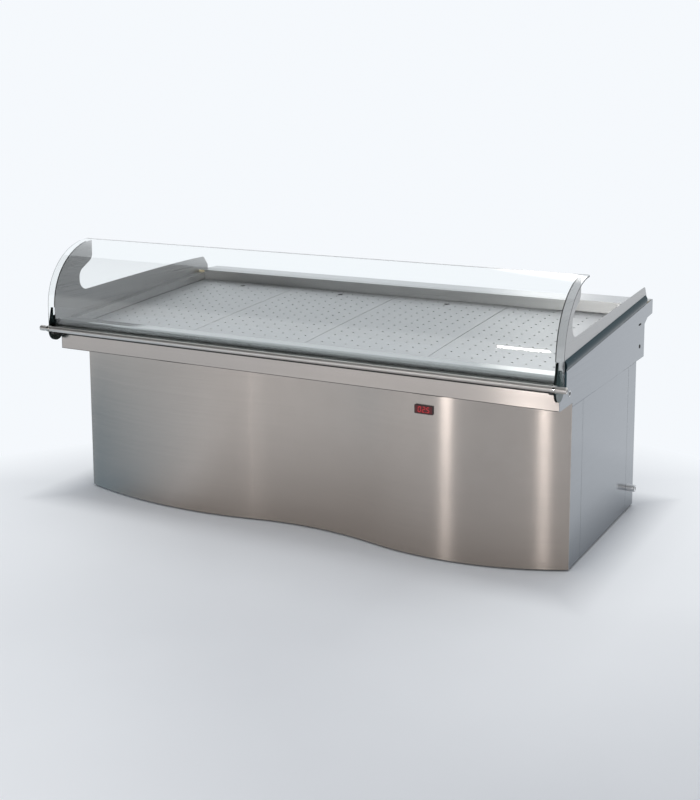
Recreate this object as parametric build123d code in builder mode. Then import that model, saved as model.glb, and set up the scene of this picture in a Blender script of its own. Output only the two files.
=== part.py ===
from build123d import *
import os
from math import atan, cos, sin, sqrt

os.makedirs("parts", exist_ok=True)

# Fish display case: a cooled display well with a tilting curved front glass, on a cabinet with an
# S-curved front. Millimetres, +Z up, the customer's side towards -Y. The origin is on the floor
# below the middle of the overall box.

# Overall sizes and common stock
top_length = 2500  # over the two end panels
overall_depth = 1402  # front of the glass arms to the rear edge of the worktop
sheet = 2  # stainless sheet
seam = 2  # visible joint between neighbouring panels
fit_gap = 0.3  # assembly gap between curved or slanted neighbours
running_gap = 0.08  # radial clearance of pins and shafts

# Cabinet: curved front, inset at the left end and flush at the right end
floor_gap = 8
left_inset = 91
cabinet_setback = 253  # from the rear edge of the worktop to the rear of the cabinet
wave_recess = 4  # from the fascia plane back to the tops of the bulges
wave_left_x = -600
wave_right_x = 690
wave_left_radius = 1850
wave_right_radius = 1150
wave_hollow_radius = 1300
wave_clearance = 2  # behind the deepest place of the curved front
side_seam_front = 291
side_strip_rear = 120  # width of the rear corner strip

# Welded frame and feet
tube = 40
tube_wall = 2
foot_height = 60
foot_radius = 19
foot_pad_height = 10
foot_stem_radius = 7
frame_setback = 14  # from the deepest place of the curved front to the front tube

# Counter heights, stacked up from the lower edge of the fascia, and depths from its rear edge
fascia_bottom = 698
fascia_height = 86
tub_drop = 14  # from the fascia's lower edge down to the tub
nose_rise = 58  # from the fascia's upper edge up to the lip
worktop_rise = 94  # from the lip up to the worktop
worktop_edge = 68
worktop_width = 181
rear_overhang = 130  # from the rear skin to the rear edge of the worktop
flare_length = 84
flare_drop = 7
flare_height = 30

# Display well and its deck
well_front = 60
side_wall = 38
floor_front_drop = 90  # lip to the well floor at its front edge
floor_low_drop = 100  # lip to the lowest line of the well floor
floor_rear_drop = 62  # lip to the well floor at its rear edge
deck_front_drop = 42  # lip to the underside of the deck at the front
deck_rear_drop = 56  # worktop to the underside of the deck at the rear
deck_plates = 4
deck_gap = 4
deck_flange = 15
deck_hole_radius = 5
deck_hole_pitch = 60
finger_hole_radius = 14
finger_hole_inset = 75
deck_margin = 40
ledge_width = 24
ledge_drop = 28
ledge_thickness = 3
drip = 14

# Nose, fascia and side trim
nose_radius = 36
nose_offset = 2  # from the fascia plane forward to the centre of the nose
lip_turn = 30  # degrees of the nose that belong to the bright lip
trim_height = 46
trim_proud = 10
trim_tail = 62  # past the rear edge of the well
cable_slot_inset = 79  # from the rear skin
cable_slot_drop = 87  # from the worktop
cable_slot_length = 16
cable_slot_width = 5
bracket_hole_inset = 73
bracket_hole_drop = 191
bracket_hole_radius = 5

# Cheek plates
cheek_thickness = 3
cheek_gap = 4  # from the glass to the cheek edge
cheek_tip_angle = 92
cheek_tip_rise = 201  # above the centre of the glass curve
cheek_bay_y = 139  # from the fascia plane
cheek_bay_top_rise = 146
cheek_bay_height = 108  # above the sloping edge of the end panel
cheek_rear_reach = 46  # past the rear edge of the well
cheek_rear_height = 87
cheek_heel_reach = 84
cheek_heel_height = 28
cheek_tuck = 45
cheek_tip_round = 42
cheek_bay_round_top = 48
cheek_bay_round = 50
cheek_rear_round = 14
seal_sweep = 80  # degrees of the cheek edge that carry the seal

# Rail, its brackets and the tilting glass
rail_radius = 12.5
rail_wall = 2
rail_drop = 36.5  # from the lip down to the rail axis
rail_overhang = 1  # past the ends of the glass
cap_length = 22
cap_radius = 13
cap_socket_radius = 6.5
cap_socket_depth = 6
bracket_width = 14
bracket_clear = 4
bracket_front = 4  # behind the rail axis
bracket_back = 17
bracket_drop = 12  # below the rail
bracket_gap = 7  # between the bracket and the channel
bracket_rise = 66  # from the fascia's lower edge
arm_ring_radius = 15  # round the rail
arm_thickness = 10
arm_gap = 1
arm_front_wall = 4
arm_step_drop = 39  # from the top of the arm to its part behind the glass
arm_step_depth = 36
arm_heel_radius = 46
arm_heel_back = 48  # behind the rail axis
arm_heel_drop = 15.5  # below the rail axis
glass_overhang = 32  # past the end panels
glass_thickness = 6
nose_gap = 4  # between the channel and the nose
glass_radius = 297
glass_centre_rise = 62  # from the lip up to the centre of the glass curve
glass_drop = 10.5  # from the rail axis down to the lower edge of the glass
glass_corner = 12
channel_wall = 3
channel_floor = 6
channel_height = 20

# Rear of the cabinet
grille_width = 660
slot_bar = 30
slot_height = 12
slot_pitch = 30
slot_rows = 14
slot_columns = 2
door_thickness = 20
door_gap = 3
door_lift = 6
pin_radius = 4
pin_engagement = 18
pin_hole_depth = 27
pin_plate = 3
pin_plate_length = 36
pin_plate_width = 18
handle_length = 130
handle_reach = 30
handle_bar_radius = 5
handle_bend = 14
handle_inset = 45
catch_size = 15
catch_depth = 14

# Cooling machine
tray_gap = 30
tray_width = 720
tray_edge = 22
compressor_radius = 95
compressor_height = 220
compressor_foot = 16
compressor_x = 150  # from the middle of the machine bay towards the left
compressor_inset = 140  # from the front edge of the tray
condenser_width = 440
condenser_height = 360
condenser_depth = 44
condenser_setback = 44  # from the grille
fin_pitch = 20
fin_slot = 6
fin_depth = 8
shroud_depth = 32
fan_radius = 145
fan_tip_gap = 3
fan_hub_radius = 32
fan_hub_length = 30
fan_blades = 5
fan_blade_width = 70
fan_blade_thickness = 3
fan_blade_pitch = 28
shaft_radius = 4
motor_radius = 44
motor_length = 62
motor_gap = 6
motor_bar = 20
motor_bar_thickness = 4
motor_bar_inset = 30
suction_radius = 8
liquid_radius = 5
line_reach = 70

# Evaporator and drain
coil_radius = 6
coil_pitch = 90
coil_end_gap = 107  # between the bends and the side walls
coil_start = 90  # from the drain line along the well floor
coil_rear_gap = 70
coil_support_height = 12
coil_support_width = 20
coil_support_inset = 407  # from the side walls
drain_inset = 77  # from the right side wall
drain_y = 240
drain_radius = 20
drain_wall = 3
drain_flange_radius = 34
drain_flange = 5
drain_tail = 29
pipe_radius = 11
pipe_wall = 2
pipe_bend = 40
pipe_clear = 1
stub_inset = 97  # from the rear of the cabinet
stub_length = 40
stub_radius = 16

# Front temperature display and power gland
display_x = 673
display_drop = 63  # below the fascia
display_width = 84
display_height = 38
display_depth = 5
display_window_depth = 1.5
display_frame = 4
display_lap = 7
display_lap_top = 4.5
display_body_depth = 60
gland_inset = 159  # from the left side of the cabinet
gland_z = 34
gland_radius = 12
gland_neck = 10
gland_length = 26
gland_bore = 4.5

# Main planes worked out from the sizes above
half = top_length / 2
end_in = half - sheet
cheek_in = end_in - cheek_thickness
well_half = cheek_in - side_wall
glass_half = half + glass_overhang
rail_half = glass_half + rail_overhang
fascia_top = fascia_bottom + fascia_height
tub_bottom = fascia_bottom - tub_drop
lip_z = fascia_top + nose_rise
worktop_z = lip_z + worktop_rise
worktop_under = worktop_z - worktop_edge
flare_knee_z = worktop_under - flare_drop
flare_start_z = worktop_under - flare_height
rail_z = lip_z - rail_drop
glass_bottom_z = rail_z - glass_drop
glass_centre_z = lip_z + glass_centre_rise
y_front = -overall_depth / 2
y_rear = overall_depth / 2
rail_y = y_front + arm_ring_radius
glass_front = rail_y + bracket_back + bracket_gap + channel_wall
glass_rear = glass_front + glass_thickness
nose_front = glass_rear + channel_wall + nose_gap
nose_y = nose_front + nose_radius
nose_z = lip_z - nose_radius
y_fascia = nose_y + nose_offset
glass_y = glass_front + glass_radius
cheek_radius = glass_radius - glass_thickness - cheek_gap
well_front_y = y_fascia + well_front
well_rear_y = y_rear - worktop_width
tub_rear_y = y_rear - rear_overhang
knee_y = y_rear - flare_length
cab_left = -half + left_inset
cab_right = half
cab_rear = y_rear - cabinet_setback
drain_x = well_half - drain_inset
drain_pos_y = y_fascia + drain_y
floor_front_z = lip_z - floor_front_drop
floor_low_z = lip_z - floor_low_drop
floor_rear_z = lip_z - floor_rear_drop
floor_tilt = atan((floor_rear_z - floor_low_z) / (well_rear_y - drain_pos_y))
deck_front_z = lip_z - deck_front_drop
deck_rear_z = worktop_z - deck_rear_drop
deck_slope = (deck_rear_z - deck_front_z) / (well_rear_y - well_front_y)
deck_tilt = atan(deck_slope)
rim_slope = worktop_rise / (y_rear - well_front_y)
rim_tilt = atan(rim_slope)
display_z = fascia_bottom - display_drop
display_body_width = display_width - 2 * display_lap
display_body_height = display_height - 2 * display_lap_top


def rim_z(y):
    """Height of the sloping top edge of the well sides."""
    return lip_z + rim_slope * (y - well_front_y)


def deck_z(y):
    """Height of the underside of the display deck."""
    return deck_front_z + deck_slope * (y - well_front_y)


def save(piece, name):
    """Label a finished piece and write it as its own node."""
    piece.part.label = name
    export_step(piece.part, f"parts/{name}.step")


def outline(plane, points):
    """Closed straight-sided face on a plane."""
    with BuildSketch(plane) as face:
        with BuildLine():
            Polyline(*points, close=True)
        make_face()
    return face.sketch


def across(points, x_from, x_to):
    """Solid with a side outline given as (y, z) points, between two x planes."""
    with BuildPart() as bar:
        extrude(outline(Plane.YZ.offset(x_from), points), amount=x_to - x_from)
    return bar.part


def block(x_from, x_to, y_from, y_to, z_from, z_to):
    """Plain rectangular solid between six planes."""
    with BuildPart() as solid:
        with BuildSketch(Plane.XY.offset(z_from)):
            with Locations(((x_from + x_to) / 2, (y_from + y_to) / 2)):
                Rectangle(x_to - x_from, y_to - y_from)
        extrude(amount=z_to - z_from)
    return solid.part


# Curved front: two bulges joined by a hollow that is tangent to both
wave_y = y_fascia + wave_recess
left_centre = Vector(wave_left_x, wave_y + wave_left_radius)
right_centre = Vector(wave_right_x, wave_y + wave_right_radius)


def hollow_centre():
    """Centre of the hollow, in front of the cabinet."""
    reach_left = wave_left_radius + wave_hollow_radius
    reach_right = wave_right_radius + wave_hollow_radius
    between = right_centre - left_centre
    span = between.length
    along = (reach_left**2 - reach_right**2 + span**2) / (2 * span)
    out = sqrt(reach_left**2 - along**2)
    direction = between.normalized()
    return left_centre + direction * along + Vector(direction.Y, -direction.X) * out


hollow = hollow_centre()


def bulge_y(centre, radius, x):
    """Where a bulge crosses a plane of constant x."""
    return centre.Y - sqrt(radius**2 - (x - centre.X) ** 2)


def arc_middle(centre, radius, start, end):
    """Point halfway along the short arc between two points of a circle."""
    return centre + ((start + end) * 0.5 - centre).normalized() * radius


def wave_ends(inset, x_left, x_right):
    """The two ends of the front line, moved back by an inset."""
    left = Vector(x_left, bulge_y(left_centre, wave_left_radius - inset, x_left))
    right = Vector(x_right, bulge_y(right_centre, wave_right_radius - inset, x_right))
    return left, right


def wave_line(inset, x_left, x_right):
    """Front line of the cabinet in plan, moved back by an inset."""
    start, end = wave_ends(inset, x_left, x_right)
    left_radius = wave_left_radius - inset
    right_radius = wave_right_radius - inset
    hollow_radius = wave_hollow_radius + inset
    first = left_centre + (hollow - left_centre).normalized() * left_radius
    second = right_centre + (hollow - right_centre).normalized() * right_radius
    with BuildLine() as line:
        ThreePointArc(start, arc_middle(left_centre, left_radius, start, first), first)
        ThreePointArc(first, arc_middle(hollow, hollow_radius, first, second), second)
        ThreePointArc(second, arc_middle(right_centre, right_radius, second, end), end)
    return line.line


def wave_plate(inset, x_left, x_right, y_back, z_from):
    """Flat sheet whose front edge follows the curved front."""
    start, end = wave_ends(inset, x_left, x_right)
    with BuildPart() as plate:
        with BuildSketch(Plane.XY.offset(z_from)):
            with BuildLine():
                add(wave_line(inset, x_left, x_right))
                Polyline(end, (x_right, y_back), (x_left, y_back), start)
            make_face()
        extrude(amount=sheet)
    return plate.part


panel_left, panel_right = wave_ends(0, cab_left, cab_right)
panel_left_in, panel_right_in = wave_ends(sheet, cab_left, cab_right)
deepest = max(panel_left_in.Y, panel_right_in.Y, hollow.Y + wave_hollow_radius + sheet)
pan_step = deepest + wave_clearance
frame_front = deepest + frame_setback
frame_rear = cab_rear - sheet
frame_left = cab_left + sheet
frame_right = cab_right - sheet
floor_z = foot_height + tube
floor_top = floor_z + sheet
top_frame_z = tub_bottom - tube

# Bays between the uprights: machine bay at the left, then two equal door bays
post_a = frame_left + tube + grille_width
door_opening = (frame_right - tube - post_a - tube - tube) / 2
post_b = post_a + tube + door_opening
post_x = [frame_left, post_a, post_b, frame_right - tube]
post_y = [frame_front, frame_rear - tube]

# Levelling feet under the frame
with BuildPart() as levelling_feet:
    for x in (post_x[0], post_x[2], post_x[3]):
        for y in post_y:
            with BuildSketch(Plane.XY):
                with Locations((x + tube / 2, y + tube / 2)):
                    Circle(foot_radius)
            extrude(amount=foot_pad_height, taper=foot_pad_height)
            with BuildSketch(Plane.XY.offset(foot_pad_height)):
                with Locations((x + tube / 2, y + tube / 2)):
                    Circle(foot_stem_radius)
            extrude(amount=foot_height - foot_pad_height)
save(levelling_feet, "levelling_feet")


def frame_plan(z, shrink):
    """Plan of a welded frame: a ring with two cross tubes, thinned by shrink on every side."""
    with BuildSketch(Plane.XY.offset(z)) as plan:
        with Locations(((frame_left + frame_right) / 2, (frame_front + frame_rear) / 2)):
            Rectangle(frame_right - frame_left - 2 * shrink, frame_rear - frame_front - 2 * shrink)
        for bay_from, bay_to in zip(post_x[:-1], post_x[1:]):
            with Locations(((bay_from + tube + bay_to) / 2, (frame_front + frame_rear) / 2)):
                Rectangle(
                    bay_to - bay_from - tube + 2 * shrink,
                    frame_rear - frame_front - 2 * tube + 2 * shrink,
                    mode=Mode.SUBTRACT,
                )
    return plan.sketch


for name, z in (("base_frame", foot_height), ("top_frame", top_frame_z)):
    with BuildPart() as tube_frame:
        extrude(frame_plan(z, 0), amount=tube)
        inside = frame_plan(z + tube_wall, tube_wall)
        extrude(inside, amount=tube - 2 * tube_wall, mode=Mode.SUBTRACT)
    save(tube_frame, name)

# Uprights between the floor sheet and the top frame
with BuildPart() as posts:
    with BuildSketch(Plane.XY.offset(floor_top)):
        for x in post_x:
            for y in post_y:
                with Locations((x + tube / 2, y + tube / 2)):
                    Rectangle(tube, tube)
                    Rectangle(tube - 2 * tube_wall, tube - 2 * tube_wall, mode=Mode.SUBTRACT)
    extrude(amount=top_frame_z - floor_top)
save(posts, "posts")

# Floor sheet and the stiffener that hold the curved front
with BuildPart() as cabinet_floor:
    add(wave_plate(sheet, frame_left, frame_right, frame_rear, floor_z))
save(cabinet_floor, "cabinet_floor")

with BuildPart() as panel_stiffener:
    stiffener_z = top_frame_z + tube / 2
    add(wave_plate(sheet, frame_left, frame_right, frame_front, stiffener_z))
save(panel_stiffener, "panel_stiffener")

# Curved front panel with the cut-out for the display
with BuildPart() as front_panel:
    with BuildSketch(Plane.XY.offset(floor_gap)):
        with BuildLine():
            add(wave_line(0, cab_left, cab_right))
            add(wave_line(sheet, cab_left, cab_right))
            Line(panel_left, panel_left_in)
            Line(panel_right, panel_right_in)
        make_face()
    extrude(amount=fascia_bottom - seam - floor_gap)
    with BuildSketch(Plane.XZ.offset(-wave_y)):
        with Locations((display_x, display_z)):
            Rectangle(display_body_width + 2 * fit_gap, display_body_height + 2 * fit_gap)
    extrude(amount=display_body_depth / 2, both=True, mode=Mode.SUBTRACT)
save(front_panel, "front_panel")

# Side panels
side_top = tub_bottom - seam
pipe_z = floor_top + pipe_radius + pipe_clear
stub_pos_y = cab_rear - stub_inset
with BuildPart() as left_side_panel:
    add(block(cab_left, frame_left, panel_left_in.Y, cab_rear, floor_gap, side_top))
save(left_side_panel, "left_side_panel")

with BuildPart() as right_side_panel:
    y_from = y_fascia + side_seam_front + seam / 2
    y_to = cab_rear - side_strip_rear - seam / 2
    add(block(frame_right, cab_right, y_from, y_to, floor_gap, side_top))
save(right_side_panel, "right_side_panel")

with BuildPart() as right_side_strips:
    y_to = y_fascia + side_seam_front - seam / 2
    add(block(frame_right, cab_right, panel_right_in.Y, y_to, floor_gap, side_top))
    y_from = cab_rear - side_strip_rear + seam / 2
    add(block(frame_right, cab_right, y_from, cab_rear, floor_gap, side_top))
    with BuildSketch(Plane.YZ.offset(frame_right)):
        with Locations((stub_pos_y, pipe_z)):
            Circle(pipe_radius + fit_gap)
    extrude(amount=sheet, mode=Mode.SUBTRACT)
save(right_side_strips, "right_side_strips")

# Rear of the cabinet: kick plate, machine grille, dividing wall
with BuildPart() as rear_kick_plate:
    add(block(frame_left, frame_right, frame_rear, cab_rear, floor_gap, floor_z))
save(rear_kick_plate, "rear_kick_plate")

with BuildPart() as rear_grille:
    grille_from = post_x[0] + tube
    slot_width = (grille_width - (slot_columns + 1) * slot_bar) / slot_columns
    add(block(grille_from, post_a, frame_rear - sheet, frame_rear, floor_top, top_frame_z))
    with BuildSketch(Plane.XZ.offset(-frame_rear)):
        with Locations(((grille_from + post_a) / 2, (floor_top + top_frame_z) / 2)):
            with GridLocations(slot_width + slot_bar, slot_pitch, slot_columns, slot_rows):
                SlotOverall(slot_width, slot_height)
    extrude(amount=sheet, mode=Mode.SUBTRACT)
save(rear_grille, "rear_grille")

with BuildPart() as dividing_wall:
    wall_x = post_a + tube / 2
    wall_from = frame_front + tube
    add(block(wall_x - sheet / 2, wall_x + sheet / 2, wall_from, frame_rear - tube, floor_top, top_frame_z))
save(dividing_wall, "dividing_wall")

# Doors: sheet pans with a solid hinge stile that turns on pins in the floor and the top frame
door_bottom = floor_top + door_lift
door_top = top_frame_z - door_lift
door_width = door_opening - 2 * door_gap
stile = door_thickness / 2
hinge_y = frame_rear - stile
door_hinges = {
    "left": (post_a + tube + door_gap + stile, 1),
    "right": (frame_right - tube - door_gap - stile, -1),
}

for side, (hinge_x, way) in door_hinges.items():
    free_x = hinge_x + way * (door_width - stile)
    with BuildPart() as door:
        with BuildSketch(Plane.XY.offset(door_bottom)):
            with Locations((hinge_x, hinge_y)):
                Circle(stile)
            with Locations(((hinge_x + free_x) / 2, hinge_y)):
                Rectangle(abs(free_x - hinge_x), door_thickness)
        extrude(amount=door_top - door_bottom)
        pocket_from = hinge_x + way * (stile + sheet)
        pocket_to = free_x - way * sheet
        with BuildSketch(Plane.XZ.offset(-(hinge_y - stile))):
            with Locations(((pocket_from + pocket_to) / 2, (door_bottom + door_top) / 2)):
                Rectangle(abs(pocket_to - pocket_from), door_top - door_bottom - 2 * sheet)
        extrude(amount=-(door_thickness - sheet), mode=Mode.SUBTRACT)
        for z, depth in ((door_bottom, pin_hole_depth), (door_top, -pin_hole_depth)):
            with BuildSketch(Plane.XY.offset(z)):
                with Locations((hinge_x, hinge_y)):
                    Circle(pin_radius + running_gap)
            extrude(amount=depth, mode=Mode.SUBTRACT)
    save(door, f"door_{side}")

    handle_x = free_x - way * handle_inset
    handle_z = (door_bottom + door_top) / 2
    with BuildPart() as handle:
        with BuildLine() as grip:
            FilletPolyline(
                (handle_x, frame_rear, handle_z - handle_length / 2),
                (handle_x, frame_rear + handle_reach, handle_z - handle_length / 2),
                (handle_x, frame_rear + handle_reach, handle_z + handle_length / 2),
                (handle_x, frame_rear, handle_z + handle_length / 2),
                radius=handle_bend,
            )
        with BuildSketch(Plane(origin=grip.line @ 0, z_dir=grip.line % 0)):
            Circle(handle_bar_radius)
        sweep()
    save(handle, f"door_handle_{side}")

with BuildPart() as door_pins:
    for hinge_x, way in door_hinges.values():
        plate_shift = (pin_plate_length - pin_plate_width) / 2 * way
        for z, up in ((floor_top, 1), (top_frame_z, -1)):
            with BuildSketch(Plane.XY.offset(z)):
                with Locations((hinge_x + plate_shift, hinge_y)):
                    Rectangle(pin_plate_length, pin_plate_width)
            extrude(amount=up * pin_plate)
            with BuildSketch(Plane.XY.offset(z)):
                with Locations((hinge_x, hinge_y)):
                    Circle(pin_radius)
            extrude(amount=up * (door_lift + pin_engagement))
save(door_pins, "door_pins")

with BuildPart() as door_catches:
    catch_y = hinge_y - stile - fit_gap
    catch_z = (door_bottom + door_top) / 2
    for x_from, x_to in ((post_b - catch_size, post_b), (post_b + tube, post_b + tube + catch_size)):
        add(block(x_from, x_to, catch_y - catch_depth, catch_y, catch_z - catch_size, catch_z + catch_size))
save(door_catches, "door_catches")

# Cooling machine on its tray in the left bay
bay_x = (post_x[0] + tube + post_a) / 2
tray_top = floor_top + sheet
tray_rear = frame_rear - sheet - seam
tray_from = tray_rear - tray_width
tray_half = grille_width / 2 - tray_gap
with BuildPart() as unit_tray:
    add(block(bay_x - tray_half, bay_x + tray_half, tray_from, tray_rear, floor_top, floor_top + tray_edge))
    hollow_top = offset(unit_tray.faces().sort_by(Axis.Z)[-1], amount=-sheet, mode=Mode.PRIVATE)
    extrude(hollow_top, amount=-(tray_edge - sheet), mode=Mode.SUBTRACT)
save(unit_tray, "unit_tray")

compressor_at = Vector(bay_x - compressor_x, tray_from + compressor_inset)
with BuildPart() as compressor:
    with BuildSketch(Plane.XY.offset(tray_top)):
        with Locations((compressor_at.X, compressor_at.Y)):
            with GridLocations(compressor_radius, compressor_radius, 2, 2):
                Circle(compressor_foot)
    extrude(amount=compressor_foot)
    with BuildSketch(Plane.XY.offset(tray_top + compressor_foot)):
        with Locations((compressor_at.X, compressor_at.Y)):
            Circle(compressor_radius)
    extrude(amount=compressor_height)
    fillet(compressor.faces().sort_by(Axis.Z)[-1].edges(), compressor_radius / 2)
save(compressor, "compressor")

condenser_y = frame_rear - condenser_setback
condenser_z = tray_top + condenser_height / 2
with BuildPart() as condenser:
    with BuildSketch(Plane.XZ.offset(-condenser_y)):
        with Locations((bay_x, condenser_z)):
            Rectangle(condenser_width, condenser_height)
    extrude(amount=condenser_depth)
    fin_count = int((condenser_width - 2 * fin_pitch) / fin_pitch)
    for face_y, inward in ((condenser_y, fin_depth), (condenser_y - condenser_depth, -fin_depth)):
        with BuildSketch(Plane.XZ.offset(-face_y)):
            with Locations((bay_x, condenser_z)):
                with GridLocations(fin_pitch, 0, fin_count, 1):
                    Rectangle(fin_slot, condenser_height - 2 * fin_pitch)
        extrude(amount=inward, mode=Mode.SUBTRACT)
save(condenser, "condenser")

shroud_rear = condenser_y - condenser_depth
shroud_front = shroud_rear - shroud_depth
fan_opening = sqrt(fan_radius**2 + (fan_blade_width / 2) ** 2) + fan_tip_gap
with BuildPart() as fan_shroud:
    with BuildSketch(Plane.XZ.offset(-shroud_rear)):
        with Locations((bay_x, condenser_z)):
            Rectangle(condenser_width, condenser_height)
    extrude(amount=shroud_depth)
    with BuildSketch(Plane.XZ.offset(-shroud_rear)):
        with Locations((bay_x, condenser_z)):
            Rectangle(condenser_width - 2 * sheet, condenser_height - 2 * sheet)
    extrude(amount=shroud_depth - sheet, mode=Mode.SUBTRACT)
    with BuildSketch(Plane.XZ.offset(-shroud_rear)):
        with Locations((bay_x, condenser_z)):
            Circle(fan_opening)
    extrude(amount=shroud_depth, mode=Mode.SUBTRACT)
save(fan_shroud, "fan_shroud")

fan_y = shroud_front - sheet / 2
with BuildPart() as fan:
    with BuildSketch(Plane.XZ.offset(-(fan_y + fan_hub_length / 2))):
        with Locations((bay_x, condenser_z)):
            Circle(fan_hub_radius)
    extrude(amount=fan_hub_length)
    blade_length = fan_radius - fan_hub_radius / 2
    blade_plane = Plane(
        origin=(bay_x, fan_y, condenser_z + fan_hub_radius / 2), x_dir=(1, 0, 0), z_dir=(0, 0, 1)
    )
    with BuildSketch(blade_plane, mode=Mode.PRIVATE) as blade_root:
        Rectangle(fan_blade_width, fan_blade_thickness, rotation=fan_blade_pitch)
    for turn in range(fan_blades):
        angle = turn * 360 / fan_blades
        blade = extrude(blade_root.sketch, amount=blade_length, mode=Mode.PRIVATE)
        add(blade.rotate(Axis((bay_x, fan_y, condenser_z), (0, 1, 0)), angle))
    with BuildSketch(Plane.XZ.offset(-(fan_y + fan_hub_length / 2))):
        with Locations((bay_x, condenser_z)):
            Circle(shaft_radius + running_gap)
    extrude(amount=fan_hub_length, mode=Mode.SUBTRACT)
save(fan, "fan")

motor_rear = fan_y - fan_hub_length / 2 - motor_gap
motor_bar_reach = condenser_width / 2 - motor_bar_inset
with BuildPart() as fan_motor:
    with BuildSketch(Plane.XZ.offset(-motor_rear)):
        with Locations((bay_x, condenser_z)):
            Circle(motor_radius)
    extrude(amount=motor_length)
    with BuildSketch(Plane.XZ.offset(-(fan_y + fan_hub_length / 2))):
        with Locations((bay_x, condenser_z)):
            Circle(shaft_radius)
    extrude(amount=fan_hub_length + 2 * motor_gap)
    bar_y = motor_rear - motor_length
    add(
        block(
            bay_x - motor_bar_reach,
            bay_x + motor_bar_reach,
            bar_y,
            bar_y + motor_bar_thickness,
            condenser_z - motor_bar / 2,
            condenser_z + motor_bar / 2,
        )
    )
    for way in (-1, 1):
        leg_x = bay_x + way * (motor_bar_reach - motor_bar_thickness / 2)
        add(
            block(
                leg_x - motor_bar_thickness / 2,
                leg_x + motor_bar_thickness / 2,
                bar_y,
                shroud_front,
                condenser_z - motor_bar / 2,
                condenser_z + motor_bar / 2,
            )
        )
save(fan_motor, "fan_motor")

# Suction line from the compressor and liquid line from the condenser, up to the well
line_bend = 3 * suction_radius
suction_z = tray_top + compressor_foot + compressor_height / 2
suction_from = compressor_at.X + compressor_radius
liquid_x = bay_x + condenser_width / 2 - line_bend
liquid_z = tray_top + condenser_height
with BuildPart() as refrigerant_lines:
    with BuildLine() as suction:
        FilletPolyline(
            (suction_from, compressor_at.Y, suction_z),
            (suction_from + line_reach, compressor_at.Y, suction_z),
            (suction_from + line_reach, compressor_at.Y, tub_bottom),
            radius=line_bend,
        )
    with BuildSketch(Plane(origin=suction.line @ 0, z_dir=suction.line % 0)):
        Circle(suction_radius)
    sweep(path=suction.line)
    with BuildSketch(Plane.XY.offset(liquid_z)):
        with Locations((liquid_x, condenser_y - condenser_depth / 2)):
            Circle(liquid_radius)
    extrude(amount=tub_bottom - liquid_z)
save(refrigerant_lines, "refrigerant_lines")

# Tub: outer pan, insulation, liner and the skins around them
with BuildPart() as tub_pan:
    front_z = fascia_bottom + sheet
    add(
        across(
            [
                (y_fascia + sheet, front_z),
                (pan_step, front_z),
                (pan_step, tub_bottom),
                (tub_rear_y - sheet, tub_bottom),
                (tub_rear_y - sheet, tub_bottom + sheet),
                (pan_step + sheet, tub_bottom + sheet),
                (pan_step + sheet, front_z + sheet),
                (y_fascia + sheet, front_z + sheet),
            ],
            -end_in,
            end_in,
        )
    )
    with BuildSketch(Plane.XY.offset(tub_bottom)):
        with Locations((drain_x, drain_pos_y)):
            Circle(drain_radius + fit_gap)
    extrude(amount=sheet, mode=Mode.SUBTRACT)
save(tub_pan, "tub_pan")

liner_outside = [
    (well_front_y - sheet, lip_z - sheet),
    (well_front_y - sheet, floor_front_z - sheet),
    (drain_pos_y, floor_low_z - sheet),
    (well_rear_y + sheet, floor_rear_z - sheet),
    (well_rear_y + sheet, worktop_z - sheet),
    (well_rear_y, worktop_z - sheet),
    (well_rear_y, rim_z(well_rear_y) - sheet),
    (well_front_y, lip_z - sheet),
]
with BuildPart() as insulation:
    add(
        across(
            [
                (y_fascia + sheet, fascia_bottom + 2 * sheet),
                (pan_step + sheet, fascia_bottom + 2 * sheet),
                (pan_step + sheet, tub_bottom + sheet),
                (tub_rear_y - sheet, tub_bottom + sheet),
                (tub_rear_y - sheet, flare_start_z + sheet),
                (knee_y - sheet, flare_knee_z + sheet),
                (y_rear - sheet, worktop_under + sheet),
                (y_rear - sheet, worktop_z - sheet),
                (well_rear_y, worktop_z - sheet),
                (well_rear_y, rim_z(well_rear_y) - sheet),
                (well_front_y, lip_z - sheet),
                (y_fascia + sheet, lip_z - sheet),
            ],
            -cheek_in,
            cheek_in,
        )
    )
    add(across(liner_outside, -well_half - sheet, well_half + sheet), mode=Mode.SUBTRACT)
    with BuildSketch(Plane.XY.offset(tub_bottom)):
        with Locations((drain_x, drain_pos_y)):
            Circle(drain_radius + fit_gap)
    extrude(amount=lip_z - tub_bottom, mode=Mode.SUBTRACT)
save(insulation, "insulation")

with BuildPart() as well_liner:
    add(across(liner_outside, -well_half, well_half))
    inside = [
        (well_front_y, worktop_z),
        (well_front_y, floor_front_z),
        (drain_pos_y, floor_low_z),
        (well_rear_y, floor_rear_z),
        (well_rear_y, worktop_z),
    ]
    add(across(inside, -well_half, well_half), mode=Mode.SUBTRACT)
    with BuildSketch(Plane.XY.offset(tub_bottom)):
        with Locations((drain_x, drain_pos_y)):
            Circle(drain_radius + fit_gap)
    extrude(amount=lip_z - tub_bottom, mode=Mode.SUBTRACT)
save(well_liner, "well_liner")

# Side walls of the well, each with a rim turned out along the sloping top edge
with BuildPart() as well_sides:
    rim = [
        (well_front_y, lip_z - sheet),
        (well_rear_y, rim_z(well_rear_y) - sheet),
        (well_rear_y, rim_z(well_rear_y)),
        (well_front_y, lip_z),
    ]
    for wall_from, rim_from in ((well_half, well_half), (-well_half - sheet, -cheek_in)):
        add(across(liner_outside, wall_from, wall_from + sheet))
        add(across(rim, rim_from, rim_from + side_wall))
save(well_sides, "well_sides")

with BuildPart() as fascia:
    add(block(-end_in, end_in, y_fascia, y_fascia + sheet, fascia_bottom, fascia_top))
save(fascia, "fascia")

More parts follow.
